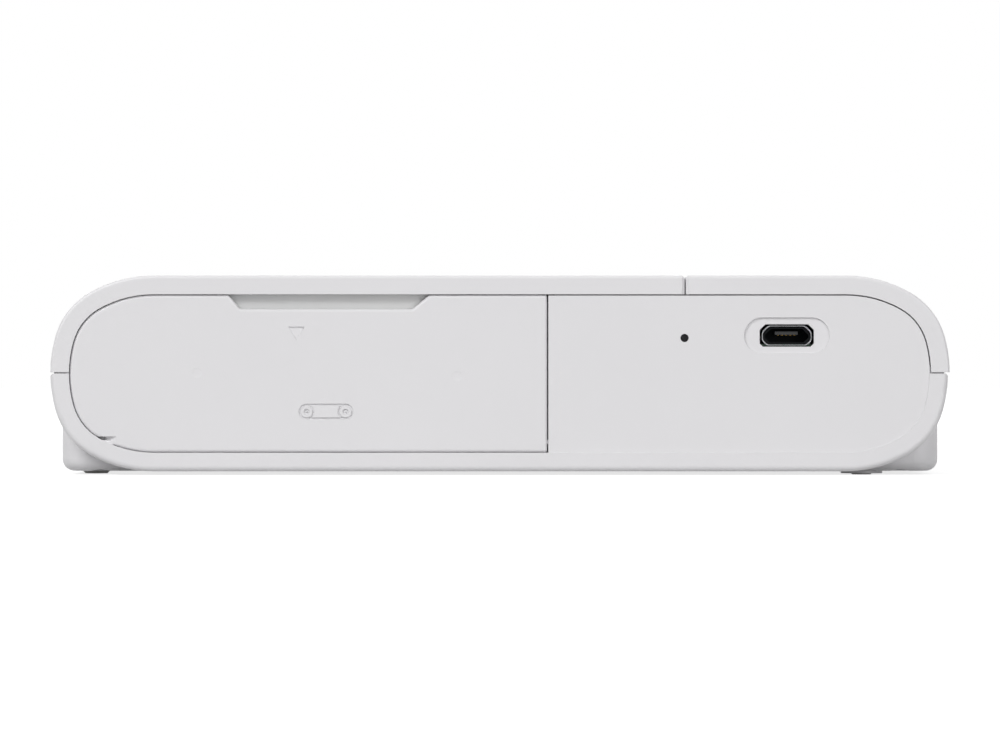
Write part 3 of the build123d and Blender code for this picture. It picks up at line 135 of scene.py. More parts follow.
# Noise lies mostly between 0.3 and 0.7, and that range is spread out between two values
def spread(tree, factor, low, high):
    return addNode(tree, "ShaderNodeMapRange",
                   {"From Min": 0.3, "From Max": 0.7, "To Min": low, "To Max": high},
                   {"Value": factor}).outputs["Result"]


# Colours or outputs, blended: a Mix node has its colours at inputs 6 and 7 and output 2
def mixed(tree, factor, first, second):
    node = addNode(tree, "ShaderNodeMix", {"data_type": "RGBA"})
    tree.links.new(factor, node.inputs[0])
    for socket, value in ((6, first), (7, second)):
        if isinstance(value, str):
            node.inputs[socket].default_value = linearColour(value)
        else:
            tree.links.new(value, node.inputs[socket])
    return node.outputs[2]


# Moulded and cut edges are never sharp: their shading is rounded by this radius
def roundedNormal(tree, radiusMm):
    return addNode(tree, "ShaderNodeBevel", {"Radius": radiusMm * mm, "samples": 4}).outputs["Normal"]


def bumped(tree, height, depthMm, normal):
    return addNode(tree, "ShaderNodeBump", {"Strength": 1.0, "Distance": depthMm * mm},
                   {"Height": height, "Normal": normal}).outputs["Normal"]


# Materials, each after its real substance and how its surface was made

# Injection-moulded thermoplastic: a spark-eroded mould leaves a fine even grain
plasticSettings = {
    "shell_white": {"name": "sparkErodedAbs", "colour": "E5E4E6", "shade": "E2E1E3", "roughness": 0.42,
                    "grainMm": 0.25, "grainDepthMm": 0.004, "edgeMm": 0.14},
    "inner_grey": {"name": "greyAbs", "colour": "AFB1B3", "shade": "A8AAAD", "roughness": 0.38,
                   "grainMm": 0.3, "grainDepthMm": 0.006, "edgeMm": 0.12},
    "pale_inner": {"name": "paleAbs", "colour": "DDDDDC", "shade": "D6D7D7", "roughness": 0.4,
                   "grainMm": 0.3, "grainDepthMm": 0.006, "edgeMm": 0.12},
    "natural_plastic": {"name": "naturalAcetal", "colour": "ECE9DF", "shade": "E4E0D3", "roughness": 0.3,
                        "grainMm": 0.5, "grainDepthMm": 0.004, "edgeMm": 0.08, "ior": 1.48, "glow": 0.25},
    "chip_black": {"name": "mouldedEpoxy", "colour": "242528", "shade": "1D1E20", "roughness": 0.6,
                   "grainMm": 0.2, "grainDepthMm": 0.01, "edgeMm": 0.05},
}


def mouldedPlastic(name, colour, shade, roughness, grainMm, grainDepthMm, edgeMm, ior=1.54, glow=0.0):
    material, tree = newTree(name)
    flow = noise(tree, 25, detail=1.0)
    grain = noise(tree, grainMm, detail=1.0)
    rub = noise(tree, 4, detail=3.0)
    normal = bumped(tree, grain, grainDepthMm, roundedNormal(tree, edgeMm))
    shader = addNode(tree, "ShaderNodeBsdfPrincipled",
                     {"IOR": ior, "Subsurface Weight": glow, "Subsurface Radius": (1, 0.95, 0.9),
                      "Subsurface Scale": 0.4 * mm},
                     {"Base Color": mixed(tree, flow, colour, shade),
                      "Roughness": spread(tree, rub, roughness - 0.03, roughness + 0.03),
                      "Normal": normal})
    finishTree(tree, shader.outputs["BSDF"])
    return material


# Glass-filled black polyester: short fibres lie as pale specks in the skin
def glassFilledPlastic(name, colour, fibre):
    material, tree = newTree(name)
    specks = noise(tree, 0.5, (1, 0.25, 1), detail=4.0)
    ramp = addNode(tree, "ShaderNodeMapRange", {"From Min": 0.6, "From Max": 0.75}, {"Value": specks})
    shader = addNode(tree, "ShaderNodeBsdfPrincipled", {"IOR": 1.57},
                     {"Base Color": mixed(tree, ramp.outputs["Result"], colour, fibre),
                      "Roughness": spread(tree, specks, 0.45, 0.6),
                      "Normal": bumped(tree, specks, 0.008, roundedNormal(tree, 0.1))})
    finishTree(tree, shader.outputs["BSDF"])
    return material


# Diffusing polycarbonate: light from below spreads in it, so it looks milky
def milkyLightGuide(name):
    material, tree = newTree(name)
    haze = noise(tree, 1.5)
    shader = addNode(tree, "ShaderNodeBsdfPrincipled",
                     {"IOR": 1.585, "Transmission Weight": 0.25, "Subsurface Weight": 0.6,
                      "Subsurface Radius": (1, 1, 1), "Subsurface Scale": 1 * mm},
                     {"Base Color": mixed(tree, haze, "EEF2F4", "E4EAEE"),
                      "Roughness": spread(tree, haze, 0.28, 0.36), "Normal": roundedNormal(tree, 0.08)})
    finishTree(tree, shader.outputs["BSDF"])
    return material


# Moulded or ground rubber: dull, with dust held in its pores
rubberSettings = {
    "foot_rubber": {"name": "mouldedFootRubber", "colour": "DCDCD9", "dust": "D4D4D1", "roughness": 0.7,
                    "grainMm": 0.3, "stretch": (1, 1, 1)},
    "roller_rubber": {"name": "groundRollerRubber", "colour": "2A2B2D", "dust": "3A3B3D", "roughness": 0.7,
                      "grainMm": 0.25, "stretch": (0.1, 1, 0.1)},
}


def rubber(name, colour, dust, roughness, grainMm, stretch):
    material, tree = newTree(name)
    grain = noise(tree, grainMm, stretch, detail=3.0)
    patches = noise(tree, 3, detail=3.0)
    shader = addNode(tree, "ShaderNodeBsdfPrincipled",
                     {"IOR": 1.52, "Sheen Weight": 0.12, "Sheen Roughness": 0.5},
                     {"Base Color": mixed(tree, patches, colour, dust),
                      "Roughness": spread(tree, grain, roughness - 0.06, roughness + 0.06),
                      "Normal": bumped(tree, grain, 0.03, roundedNormal(tree, 0.12))})
    finishTree(tree, shader.outputs["BSDF"])
    return material


# Pressed wool felt: crossed fibres, soft at grazing angles
def pressedFelt(name):
    material, tree = newTree(name)
    along = noise(tree, 0.35, (1, 0.15, 1), detail=4.0)
    across = noise(tree, 0.35, (0.15, 1, 1), detail=4.0)
    fibres = addNode(tree, "ShaderNodeMath", {"operation": "MAXIMUM"}, {0: along, 1: across}).outputs["Value"]
    shader = addNode(tree, "ShaderNodeBsdfPrincipled",
                     {"Sheen Weight": 0.5, "Sheen Roughness": 0.4, "Roughness": 0.95, "IOR": 1.45},
                     {"Base Color": mixed(tree, fibres, "3E4043", "6A6C70"),
                      "Normal": bumped(tree, fibres, 0.15, roundedNormal(tree, 0.3))})
    finishTree(tree, shader.outputs["BSDF"])
    return material


# Bare or plated metal: tool or rolling lines run across the stretch
alongY = (1, 0.04, 1)           # rolled or ground along Y
aroundY = (0.03, 1, 0.03)       # turned round a shaft that lies along Y
metalSettings = {
    "steel": {"name": "turnedSteel", "colour": "C9CACC", "shade": "BBBCBF", "roughness": 0.24,
              "lineMm": 0.2, "stretch": aroundY, "depthMm": 0.004},
    # painted shade: a near-black steel colour for the socket's shell, whose inside lies in shade
    "painted_shade_steel": {"name": "paintedShadeSteel", "colour": "1E1F20", "shade": "18191A", "roughness": 0.6,
                     "lineMm": 0.3, "stretch": aroundY, "depthMm": 0.004},
    "plated_sheet": {"name": "zincPlatedSheet", "colour": "C5C8C9", "shade": "B4B8BA", "roughness": 0.33,
                     "lineMm": 0.3, "stretch": alongY, "depthMm": 0.003},
    "aluminium": {"name": "extrudedAluminium", "colour": "D4D6D9", "shade": "C6C9CC", "roughness": 0.36,
                  "lineMm": 0.3, "stretch": alongY, "depthMm": 0.004},
    "brass": {"name": "turnedBrass", "colour": "D8B26A", "shade": "C9A057", "roughness": 0.28,
              "lineMm": 0.2, "stretch": aroundY, "depthMm": 0.004},
}


def metal(name, colour, shade, roughness, lineMm, stretch, depthMm):
    material, tree = newTree(name)
    lines = noise(tree, lineMm, stretch, detail=3.0)
    patches = noise(tree, 5, detail=3.0)
    shader = addNode(tree, "ShaderNodeBsdfPrincipled", {"Metallic": 1.0},
                     {"Base Color": mixed(tree, patches, colour, shade),
                      "Roughness": spread(tree, lines, roughness - 0.05, roughness + 0.08),
                      "Normal": bumped(tree, lines, depthMm, roundedNormal(tree, 0.08))})
    finishTree(tree, shader.outputs["BSDF"])
    return material


# Alumina with a glass glaze: hard, glossy and faintly cream
def glazedCeramic(name):
    material, tree = newTree(name)
    clouds = noise(tree, 2)
    shader = addNode(tree, "ShaderNodeBsdfPrincipled",
                     {"IOR": 1.6, "Coat Weight": 0.6, "Coat Roughness": 0.05},
                     {"Base Color": mixed(tree, clouds, "E9E4D6", "DCD6C6"),
                      "Roughness": spread(tree, clouds, 0.12, 0.2), "Normal": roundedNormal(tree, 0.06)})
    finishTree(tree, shader.outputs["BSDF"])
    return material


# Lacquered glass-epoxy board: copper tracks stand out as paler, raised lines
def solderMask(name):
    material, tree = newTree(name)
    # square rings about the middle of each cell, with 450 cells to a metre
    cells = addNode(tree, "ShaderNodeTexVoronoi", {"feature": "F1", "distance": "MANHATTAN", "Scale": 450.0},
                    {"Vector": objectPoint(tree)})
    rings = addNode(tree, "ShaderNodeMath", {"operation": "MULTIPLY", 1: 24.0},
                    {0: cells.outputs["Distance"]})
    waves = addNode(tree, "ShaderNodeMath", {"operation": "SINE"}, {0: rings.outputs["Value"]})
    tracks = addNode(tree, "ShaderNodeMapRange", {"From Min": 0.2, "From Max": 0.5},
                     {"Value": waves.outputs["Value"]}).outputs["Result"]
    shader = addNode(tree, "ShaderNodeBsdfPrincipled",
                     {"IOR": 1.55, "Coat Weight": 0.5, "Coat Roughness": 0.15, "Roughness": 0.4},
                     {"Base Color": mixed(tree, tracks, "0F4A2C", "1F6E45"),
                      "Normal": bumped(tree, tracks, 0.03, roundedNormal(tree, 0.08))})
    finishTree(tree, shader.outputs["BSDF"])
    return material


# PVC film shrunk round the cells: glossy, with fine stretched wrinkles
def shrinkFilm(name):
    material, tree = newTree(name)
    wrinkles = noise(tree, 3, (1, 0.2, 1))
    shader = addNode(tree, "ShaderNodeBsdfPrincipled", {"IOR": 1.53},
                     {"Base Color": mixed(tree, wrinkles, "23282E", "2F353C"),
                      "Roughness": spread(tree, wrinkles, 0.18, 0.3),
                      "Normal": bumped(tree, wrinkles, 0.12, roundedNormal(tree, 0.3))})
    finishTree(tree, shader.outputs["BSDF"])
    return material


# Polyester film with dye panels in turn along its length: cyan, magenta, yellow and a clear coat
filmSettings = {
    "perMetre": 14.0,           # X in metres, times this and shifted, is a place among the panels
    "shift": 0.93,
    "panels": ((0.0, "2E8FB5"), (0.36, "B8336F"), (0.56, "D9B92E"), (0.78, "A9A7AE")),
}


def dyeFilm(name):
    settings = filmSettings
    material, tree = newTree(name)
    point = addNode(tree, "ShaderNodeSeparateXYZ", links={"Vector": objectPoint(tree)})
    along = addNode(tree, "ShaderNodeMath",
                    {"operation": "MULTIPLY_ADD", 1: settings["perMetre"], 2: settings["shift"]},
                    {0: point.outputs["X"]})
    panels = addNode(tree, "ShaderNodeValToRGB", links={"Fac": along.outputs["Value"]})
    ramp = panels.color_ramp
    ramp.interpolation = "CONSTANT"
    ramp.elements.remove(ramp.elements[1])
    for place, (start, colour) in enumerate(settings["panels"]):
        element = ramp.elements.new(start) if place else ramp.elements[0]
        element.color = linearColour(colour)
    shader = addNode(tree, "ShaderNodeBsdfPrincipled", {"IOR": 1.6, "Alpha": 0.92},
                     {"Base Color": panels.outputs["Color"],
                      "Roughness": spread(tree, noise(tree, 6, (1, 0.3, 1)), 0.16, 0.26)})
    finishTree(tree, shader.outputs["BSDF"])
    return material


def makeMaterials():
    made = {
        "black_plastic": glassFilledPlastic("glassFilledPbt", "17181A", "4A4C50"),
        "light_guide": milkyLightGuide("diffusingPolycarbonate"),
        "pad_foam": pressedFelt("pressedFelt"),
        "ceramic": glazedCeramic("glazedAlumina"),
        "board_green": solderMask("solderMask"),
        "cell_wrap": shrinkFilm("shrinkFilm"),
        "film": dyeFilm("dyeCoatedPolyester"),
    }
    families = ((mouldedPlastic, plasticSettings), (rubber, rubberSettings), (metal, metalSettings))
    for makeOne, kinds in families:
        for slotName, settings in kinds.items():
            made[slotName] = makeOne(**settings)
    return made


materials = makeMaterials()
slotOf = {part["node"]: part["material_slot"] for part in frame["record"]["subparts"]}
for nodeName, node in frame["nodes"].items():
    node.data.materials.clear()
    node.data.materials.append(materials[slotOf[nodeName]])
print("materials made:", len(materials))


# Making pieces

def meshFrom(name, bm):
    bmesh.ops.recalc_face_normals(bm, faces=bm.faces)
    mesh = bpy.data.meshes.new(name)
    bm.to_mesh(mesh)
    bm.free()
    return mesh


# A finished mesh becomes a piece: smooth, with sharp edges past an angle and flat faces kept flat
def placePiece(name, mesh, body, slotName, replaced=(), sharpAngle=32, finish=None):
    mesh.materials.clear()
    mesh.materials.append(materials[finish or slotName])
    mesh.shade_smooth()
    mesh.set_sharp_from_angle(angle=math.radians(sharpAngle))
    piece = bpy.data.objects.new(name, mesh)
    bpy.context.scene.collection.objects.link(piece)
    flats = piece.modifiers.new("flatFaces", "WEIGHTED_NORMAL")
    flats.keep_sharp = True
    flats.weight = 100
    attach(piece, body)
    if replaced:
        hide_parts(*replaced)
    return piece


# Faces drawn out by a way in mm
def drawOut(bm, faces, way):
    drawn = bmesh.ops.extrude_face_region(bm, geom=faces)
    verts = [v for v in drawn["geom"] if isinstance(v, bmesh.types.BMVert)]
    bmesh.ops.translate(bm, verts=verts, vec=Vector(way) * mm)


# A flat outline in X and Z, drawn out between two Y values, all in mm
def prism(bm, outline, y):
    face = bm.faces.new([bm.verts.new((x * mm, y[0] * mm, z * mm)) for x, z in outline])
    drawOut(bm, [face], (0, y[1] - y[0], 0))
    return bm


# A closed profile of (radius, place along the axis) in mm, spun round an axis through centre
def turned(bm, profile, centre, axis, steps=48):
    across = Vector((0, 0, 1)) if abs(axis[2]) < 0.5 else Vector((1, 0, 0))
    axis = Vector(axis)
    start = [Vector(centre) + across * radius + axis * along for radius, along in profile]
    verts = [bm.verts.new(point * mm) for point in start]
    edges = [bm.edges.new((verts[i], verts[i + 1])) for i in range(len(verts) - 1)]
    bmesh.ops.spin(bm, geom=verts + edges, cent=Vector(centre) * mm, axis=axis, angle=math.tau,
                   steps=steps, use_merge=True, use_duplicate=False)
    bmesh.ops.remove_doubles(bm, verts=bm.verts, dist=1e-7)
    return bm


def looseObject(name, bm):
    thing = bpy.data.objects.new(name, meshFrom(name, bm))
    bpy.context.scene.collection.objects.link(thing)
    return thing


cutReach = 0.5      # mm by which a cut starts outside what it cuts


# What is left of a shape after others are cut from it
def cutShape(name, bm, cutters):
    base = looseObject(name, bm)
    tools = [looseObject(name + "Cut%d" % place, cutter) for place, cutter in enumerate(cutters)]
    for tool in tools:
        modifier = base.modifiers.new(tool.name, "BOOLEAN")
        modifier.operation = "DIFFERENCE"
        modifier.solver = "EXACT"
        modifier.object = tool
    depsgraph = bpy.context.evaluated_depsgraph_get()
    mesh = bpy.data.meshes.new_from_object(base.evaluated_get(depsgraph))
    for used in tools + [base]:
        bpy.data.objects.remove(used)
    return mesh


# A copy of a CAD node's mesh, merged, for shapes to be cut from it
def copyOf(nodeName):
    bm = bmesh.new()
    bm.from_mesh(frame["nodes"][nodeName].data)
    bmesh.ops.remove_doubles(bm, verts=bm.verts, dist=2e-6)
    bmesh.ops.dissolve_limit(bm, angle_limit=math.radians(0.1), verts=bm.verts, edges=bm.edges)
    return bm


# A point at a radius, turned from straight up
def polar(radius, turn):
    return (radius * math.sin(turn), radius * math.cos(turn))


def circlePoints(radius, count):
    return [polar(radius, math.tau * step / count) for step in range(count)]


def rectangle(low, high):
    return [low, (high[0], low[1]), high, (low[0], high[1])]


# A flat ring between two outlines of as many points each, drawn out between two Y values
def ringPrism(bm, outer, inner, centre, y):
    rings = [[bm.verts.new(Vector((centre[0] + px, y[0], centre[1] + pz)) * mm) for px, pz in outline]
             for outline in (outer, inner)]
    pairs = list(zip(*rings))
    faces = [bm.faces.new((here[0], after[0], after[1], here[1]))
             for here, after in zip(pairs, pairs[1:] + pairs[:1])]
    drawOut(bm, faces, (0, y[1] - y[0], 0))
    return bm


def roundRing(outerRadius, innerRadius, centre, y, count=40):
    outlines = circlePoints(outerRadius, count), circlePoints(innerRadius, count)
    return ringPrism(bmesh.new(), *outlines, centre, y)


def box(bm, low, high, edge=0.0, segments=2):
    made = bmesh.ops.create_cube(bm, size=1.0)["verts"]
    size = [high[i] - low[i] for i in range(3)]
    bmesh.ops.scale(bm, verts=made, vec=[length * mm for length in size])
    bmesh.ops.translate(bm, verts=made, vec=[(high[i] + low[i]) / 2 * mm for i in range(3)])
    if edge > 0:
        edges = list({e for v in made for e in v.link_edges})
        bmesh.ops.bevel(bm, geom=edges, offset=edge * mm, segments=segments, affect="EDGES",
                        profile=0.5, material=-1)
    return bm


# Ink door: its marks are sunk into the panel
doorSettings = {
    "face": -50.9,              # Y of the panel's outer face
    "depth": 0.22,
    "triangle": ((-33.7, 23.65), (-31.15, 23.65), (-32.43, 21.55)),
    "gateMarks": ((-48.3, 16.3), (-6.8, 15.8)),
    "gateRadius": 0.8,
    "gateDepth": 0.05,
    "sign": (-27.7, 10.1),      # middle of the sign for the cassette
    "signReach": 3.1,           # from the middle to each reel's centre
    "reelRadius": 1.25,
    "spindleRadii": (0.45, 0.12),
    "lineWidth": 0.32,
    "barInset": 0.35,           # from each reel's centre to the end of the sign's bars
    "growth": 0.12,             # the panel's rim is moulded this much fuller than its solid
    "rimBack": -49.45,          # Y behind which nothing is fuller
    "rimRadius": 8.5,           # from the middle of the round end, within which nothing is fuller
    "rimHeights": (4.4, 28.0),  # the rim lies below the first, above the second
    "rimLeft": -58.0,           # or left of this
}


# The panel's rim moves outwards from the middle of its round end, or up and down beside it
def fullerPanel(bm):
    settings = doorSettings
    low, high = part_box("ink_door")
    middle = (low.z + high.z) / 2
    roundEnd = low.x + (high.z - low.z) / 2
    rimLow, rimHigh = [height * mm for height in settings["rimHeights"]]
    for vert in bm.verts:
        x, y, z = vert.co
        away = Vector((min(x - roundEnd, 0), z - middle))
        inFront = y <= settings["rimBack"] * mm
        outside = z < rimLow or z > rimHigh or x < settings["rimLeft"] * mm
        if inFront and outside and away.length > settings["rimRadius"] * mm:
            step = away.normalized() * settings["growth"] * mm
            vert.co += Vector((step.x, 0, step.y))
    return bm


def makeInkDoor():
    settings = doorSettings
    face, radius = settings["face"], settings["gateRadius"]
    y = (face - cutReach, face + settings["depth"])
    cutters = [prism(bmesh.new(), settings["triangle"], y)]
    quarter = [math.radians(9 * step) for step in range(11)]    # of a turn, in ten steps
    cap = [(radius * math.sin(turn), settings["gateDepth"] * math.cos(turn)) for turn in quarter]
    cap += [(radius, -cutReach), (0, -cutReach)]
    for x, z in settings["gateMarks"]:
        cutters.append(turned(bmesh.new(), cap, (x, face, z), (0, 1, 0)))
    x, z = settings["sign"]
    reel, line = settings["reelRadius"], settings["lineWidth"]
    for side in (-1, 1):
        centre = (x + side * settings["signReach"], z)
        cutters.append(roundRing(reel, reel - line, centre, y))
        cutters.append(roundRing(*settings["spindleRadii"], centre, y, count=24))
    reach = settings["signReach"] - settings["barInset"]
    for top in (z + reel, z - reel + line):
        cutters.append(prism(bmesh.new(), rectangle((x - reach, top - line), (x + reach, top)), y))
    mesh = cutShape("inkDoorPanel", fullerPanel(copyOf("ink_door")), cutters)
    placePiece("inkDoorPanel", mesh, "door", "shell_white", ["ink_door"], sharpAngle=28)


# Ledge inside the doorway's lower half and right side, behind the gap round the closed door
ledgeSettings = {
    "halfLength": 71.65,        # of the case, whose left end it follows
    "height": 31.2,
    "middle": 16.2,             # the height halfway up the case
    "radii": (22.0, 11.65),     # of the first two arcs, and the third closes the outline
    "turns": (15.6, 60.4),      # degrees turned by the first arc, then by the first two
    "steps": 9,                 # along each arc
    "inset": (2.2, 4.3),        # from the case's outline to both edges of the ledge
    "y": (-48.5, -47.9),        # clear of the door's lower edge as it swings in
    "right": 8.4,
    "upright": (6.7, 8.4),      # X from and to, on the doorway's right side
    "uprightHeights": (5.3, 27.6),
}


# The left end of the case's outline, drawn in by an inset: three arcs from the middle height down
def endArc(inset):
    settings = ledgeSettings
    first, second = [math.radians(turn) for turn in settings["turns"]]
    large, small = settings["radii"]
    fall = (large - small) * math.sin(first) + small * math.sin(second)
    last = (settings["height"] / 2 - fall) / (1 - math.sin(second))
    radii = (large, small, last)
    bounds = (0.0, first, second, math.pi / 2)
    x, z = settings["halfLength"] - large, 0.0
    points = []
    for place, radius in enumerate(radii):
        if place > 0:
            step = radii[place - 1] - radius
            x, z = x + step * math.cos(bounds[place]), z + step * math.sin(bounds[place])
        for share in range(settings["steps"]):
            turn = bounds[place] + (bounds[place + 1] - bounds[place]) * share / settings["steps"]
            points.append((-x - (radius - inset) * math.cos(turn),
                           settings["middle"] - z - (radius - inset) * math.sin(turn)))
    return points + [(-x, settings["middle"] - z - last + inset)]


def makeLedge():
    settings = ledgeSettings
    outer, inner = [endArc(inset) for inset in settings["inset"]]
    outline = outer + [(settings["right"], outer[-1][1]), (settings["right"], inner[-1][1])]
    bm = prism(bmesh.new(), outline + inner[::-1], settings["y"])
    left, right = settings["upright"]
    bottom, top = settings["uprightHeights"]
    box(bm, (left, settings["y"][0], bottom), (right, settings["y"][1], top))
    placePiece("doorwayLedge", meshFrom("doorwayLedge", bm), "case", "shell_white")


makeInkDoor()
makeLedge()
print("ink door and ledge made")


# Charging socket: a stamped shell with a bright flared lip, its inside given a near-black steel colour as
# painted shade, and a tongue with contacts
socketSettings = {
    "centre": (45.7, 22.25),
    "front": -49.9,
    "back": -44.5,
    "corners": (1.0, 0.75),     # cut off the upper and the lower corners
    "lip": (7.9, 3.15),         # length and height
    "lipReach": (-0.3, 0.1),    # from the front
    "lipWall": 0.11,
    "rounding": 0.3,
    "shell": (7.5, 2.65),
    "wall": 0.25,
    "backWall": 0.38,
    "clear": 0.02,              # between the lip, the shell and its back
    "contacts": 5,
    "pitch": 0.65,              # from contact to contact
}
tongueSettings = {
    "halfWidth": 1.85,
    "inset": (1.3, 0.45),       # from the socket's front and from its back
    "heights": (0.1, 0.7),      # above the socket's centre
    "edge": 0.08,
    "segments": 2,              # across the rounded edge
}
contactSettings = {
    "halfWidth": 0.16,
    "inset": (1.5, 0.6),
    "heights": (0.02, 0.12),
    "edge": 0.03,
    "segments": 1,
}


def socketOutline(size, corners):
    halfX, halfZ = size[0] / 2, size[1] / 2
    upper, lower = corners
    right = [(halfX - lower, -halfZ), (halfX, lower - halfZ), (halfX, halfZ - upper), (halfX - upper, halfZ)]
    return right + [(-x, z) for x, z in reversed(right)]


# A tube of the socket's outline, with its wall inside its size, between two Y values
def socketTube(size, wall, y):
    corners = socketSettings["corners"]
    innerSize = (size[0] - 2 * wall, size[1] - 2 * wall)
    outlines = socketOutline(size, corners), socketOutline(innerSize, corners)
    return ringPrism(bmesh.new(), *outlines, socketSettings["centre"], y)


# A tongue or a contact, with its middle at X
def socketBar(bm, x, settings):
    z = socketSettings["centre"][1]
    front, back = settings["inset"]
    bottom, top = settings["heights"]
    box(bm, (x - settings["halfWidth"], socketSettings["front"] + front, z + bottom),
        (x + settings["halfWidth"], socketSettings["back"] - back, z + top),
        settings["edge"], settings["segments"])


def makeSocket():
    settings = socketSettings
    x, z = settings["centre"]
    front, back, clear = settings["front"], settings["back"], settings["clear"]
    lipStart, lipEnd = settings["lipReach"]
    bm = socketTube(settings["lip"], settings["lipWall"], (front + lipStart, front + lipEnd))
    along = [e for e in bm.edges if abs(e.verts[0].co.y - e.verts[1].co.y) > 0.1 * mm]    # the Y axis
    bmesh.ops.bevel(bm, geom=along, offset=settings["rounding"] * mm, segments=4, affect="EDGES",
                    profile=0.5, material=-1)
    placePiece("socketLip", meshFrom("socketLip", bm), "case", "steel", ["usb_shell"], sharpAngle=20)
    backStart = back - settings["backWall"]
    bm = socketTube(settings["shell"], settings["wall"], (front + lipEnd + clear, backStart - clear))
    outline = [(x + px, z + pz) for px, pz in socketOutline(settings["shell"], settings["corners"])]
    prism(bm, outline, (backStart, back))
    # the shell's near-black steel finish is painted shade
    placePiece("socketShell", meshFrom("socketShell", bm), "case", "steel", ["usb_shell"],
               sharpAngle=20, finish="painted_shade_steel")
    bm = bmesh.new()
    socketBar(bm, x, tongueSettings)
    placePiece("socketTongue", meshFrom("socketTongue", bm), "case", "black_plastic", ["usb_tongue"])
    bm = bmesh.new()
    for contact in range(settings["contacts"]):
        middle = x + (contact - (settings["contacts"] - 1) / 2) * settings["pitch"]
        socketBar(bm, middle, contactSettings)
    placePiece("socketContacts", meshFrom("socketContacts", bm), "case", "brass")


makeSocket()
print("socket made")


# Rubber feet: a chamfered edge round a shallow dish, so that each stands on a ring
feetSettings = {
    "left": (-65.6, 31.0, 2.25),    # X, distance from the middle line, radius
    "right": (58.1, 41.9, 1.95),
    "top": 1.15,
    "chamfer": 0.42,
    "softening": (0.08, 0.03),      # of the chamfer's two edges, along and across
    "dish": 0.2,
    "dishCurve": ((1.25, 1.0), (1.0, 0.7), (0.85, 0.15), (0.75, 0.0)),  # mm from the side, share of depth
}


def makeFeet():
    settings = feetSettings
    chamfer, dish, top = settings["chamfer"], settings["dish"], settings["top"]
    along, across = settings["softening"]
    bm = bmesh.new()
    for x, y, radius in (settings["left"], settings["right"]):
        profile = [(0, dish)] + [(radius - inwards, dish * share) for inwards, share in settings["dishCurve"]]
        profile += [(radius - chamfer - along, 0), (radius - chamfer, across), (radius - across, chamfer),
                    (radius, chamfer + along), (radius, top), (0, top)]
        for side in (-1, 1):
            turned(bm, profile, (x, side * y, 0), (0, 0, 1))
    placePiece("rubberFeet", meshFrom("rubberFeet", bm), "case", "foot_rubber", ["rubber_feet"],
               sharpAngle=50)


# Chips: two rows of tinned legs, soldered to the board
chipSettings = {
    "shortest": 4.0,        # a chip with a shorter side has no legs here
    "pitch": 1.0,
    "bareLength": 1.0,      # of a chip's side, left without legs
    "legWidth": 0.4,
    "legReach": 0.45,
    "legHold": 0.1,         # inside the chip
    "legHeight": 0.12,
}


# The separate bodies in a mesh, each as a list of its vertices
def separateBodies(bm):
    left, bodies = set(bm.verts), []
    while left:
        stack, body = [left.pop()], []
        while stack:
            vert = stack.pop()
            body.append(vert)
            beside = {edge.other_vert(vert) for edge in vert.link_edges} & left
            left -= beside
            stack += beside
        bodies.append(body)
    return bodies


def makeChipLegs():
    settings = chipSettings
    width, height, pitch = settings["legWidth"], settings["legHeight"], settings["pitch"]
    bm = bmesh.new()
    chips = copyOf("board_chips")
    boardLow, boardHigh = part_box("main_board")
    for chip in separateBodies(chips):
        low = [min(v.co[axis] for v in chip) / mm for axis in range(3)]
        high = [max(v.co[axis] for v in chip) / mm for axis in range(3)]
        if min(high[0] - low[0], high[1] - low[1]) < settings["shortest"]:
            continue
        count = int((high[0] - low[0] - settings["bareLength"]) / pitch)
        above = (low[2] + high[2]) * mm > boardLow.z + boardHigh.z
        foot = low[2] if above else high[2] - height
        first = (low[0] + high[0]) / 2 - (count - 1) / 2 * pitch
        for leg in range(count):
            x = first + leg * pitch
            for side, edge in ((-1, low[1]), (1, high[1])):
                ends = sorted((edge - side * settings["legHold"], edge + side * settings["legReach"]))
                box(bm, (x - width / 2, ends[0], foot), (x + width / 2, ends[1], foot + height))
    chips.free()
    placePiece("chipLegs", meshFrom("chipLegs", bm), "case", "steel")


makeChipLegs()
print("chip legs made")


# Case screws: pan heads with a cross recess and a rolled thread
screwSettings = {
    "spots": ((64.0, 44.0), (-64.0, 44.0)),
    "low": 0.9,
    "headRadius": 1.8,
    "headHeight": 1.2,
    "headCurve": ((0.75, 0.0), (0.92, 0.12), (1.0, 0.4)),   # share of the radius, height
    "headEdge": 0.05,
    "length": 13.0,
    "radius": 0.9,
    "neck": 0.8,                # plain, above the head
    "pitch": 0.6,
    "thread": (0.72, 0.35, 0.85),   # root's share of the radius, its place and the crest's in a pitch
    "tip": (0.7, 0.9),          # share of the radius, mm before the end
    "slot": (1.05, 0.22),       # half length and half width of each slot of the cross
    "slotReach": (-0.3, 0.75),  # from the head's face
    "slotTaper": 0.45,
}


def screwProfile():
    settings = screwSettings
    low, head, radius = settings["low"], settings["headRadius"], settings["radius"]
    edge, pitch = settings["headEdge"], settings["pitch"]
    top = low + settings["headHeight"]
    level, end = top + settings["neck"], low + settings["length"]
    profile = [(0, low)] + [(head * share, low + height) for share, height in settings["headCurve"]]
    profile += [(head, top - edge), (head - edge, top), (radius, top), (radius, level)]
    root, valley, crest = settings["thread"]
    while level < end - 2 * pitch:
        profile += [(radius * root, level + pitch * valley), (radius, level + pitch * crest),
                    (radius, level + pitch)]
        level += pitch
    share, before = settings["tip"]
    return profile + [(radius * share, end - before), (0, end)]


# One slot of the cross, narrower at its bottom
def screwSlot(spot, halfX, halfY):
    settings = screwSettings
    low = settings["low"]
    start, end = settings["slotReach"]
    slot = box(bmesh.new(), (spot[0] - halfX, spot[1] - halfY, low + start),
               (spot[0] + halfX, spot[1] + halfY, low + end))
    for vert in slot.verts:
        if vert.co.z > low * mm:
            vert.co.x += (spot[0] * mm - vert.co.x) * settings["slotTaper"]
            vert.co.y += (spot[1] * mm - vert.co.y) * settings["slotTaper"]
    return slot


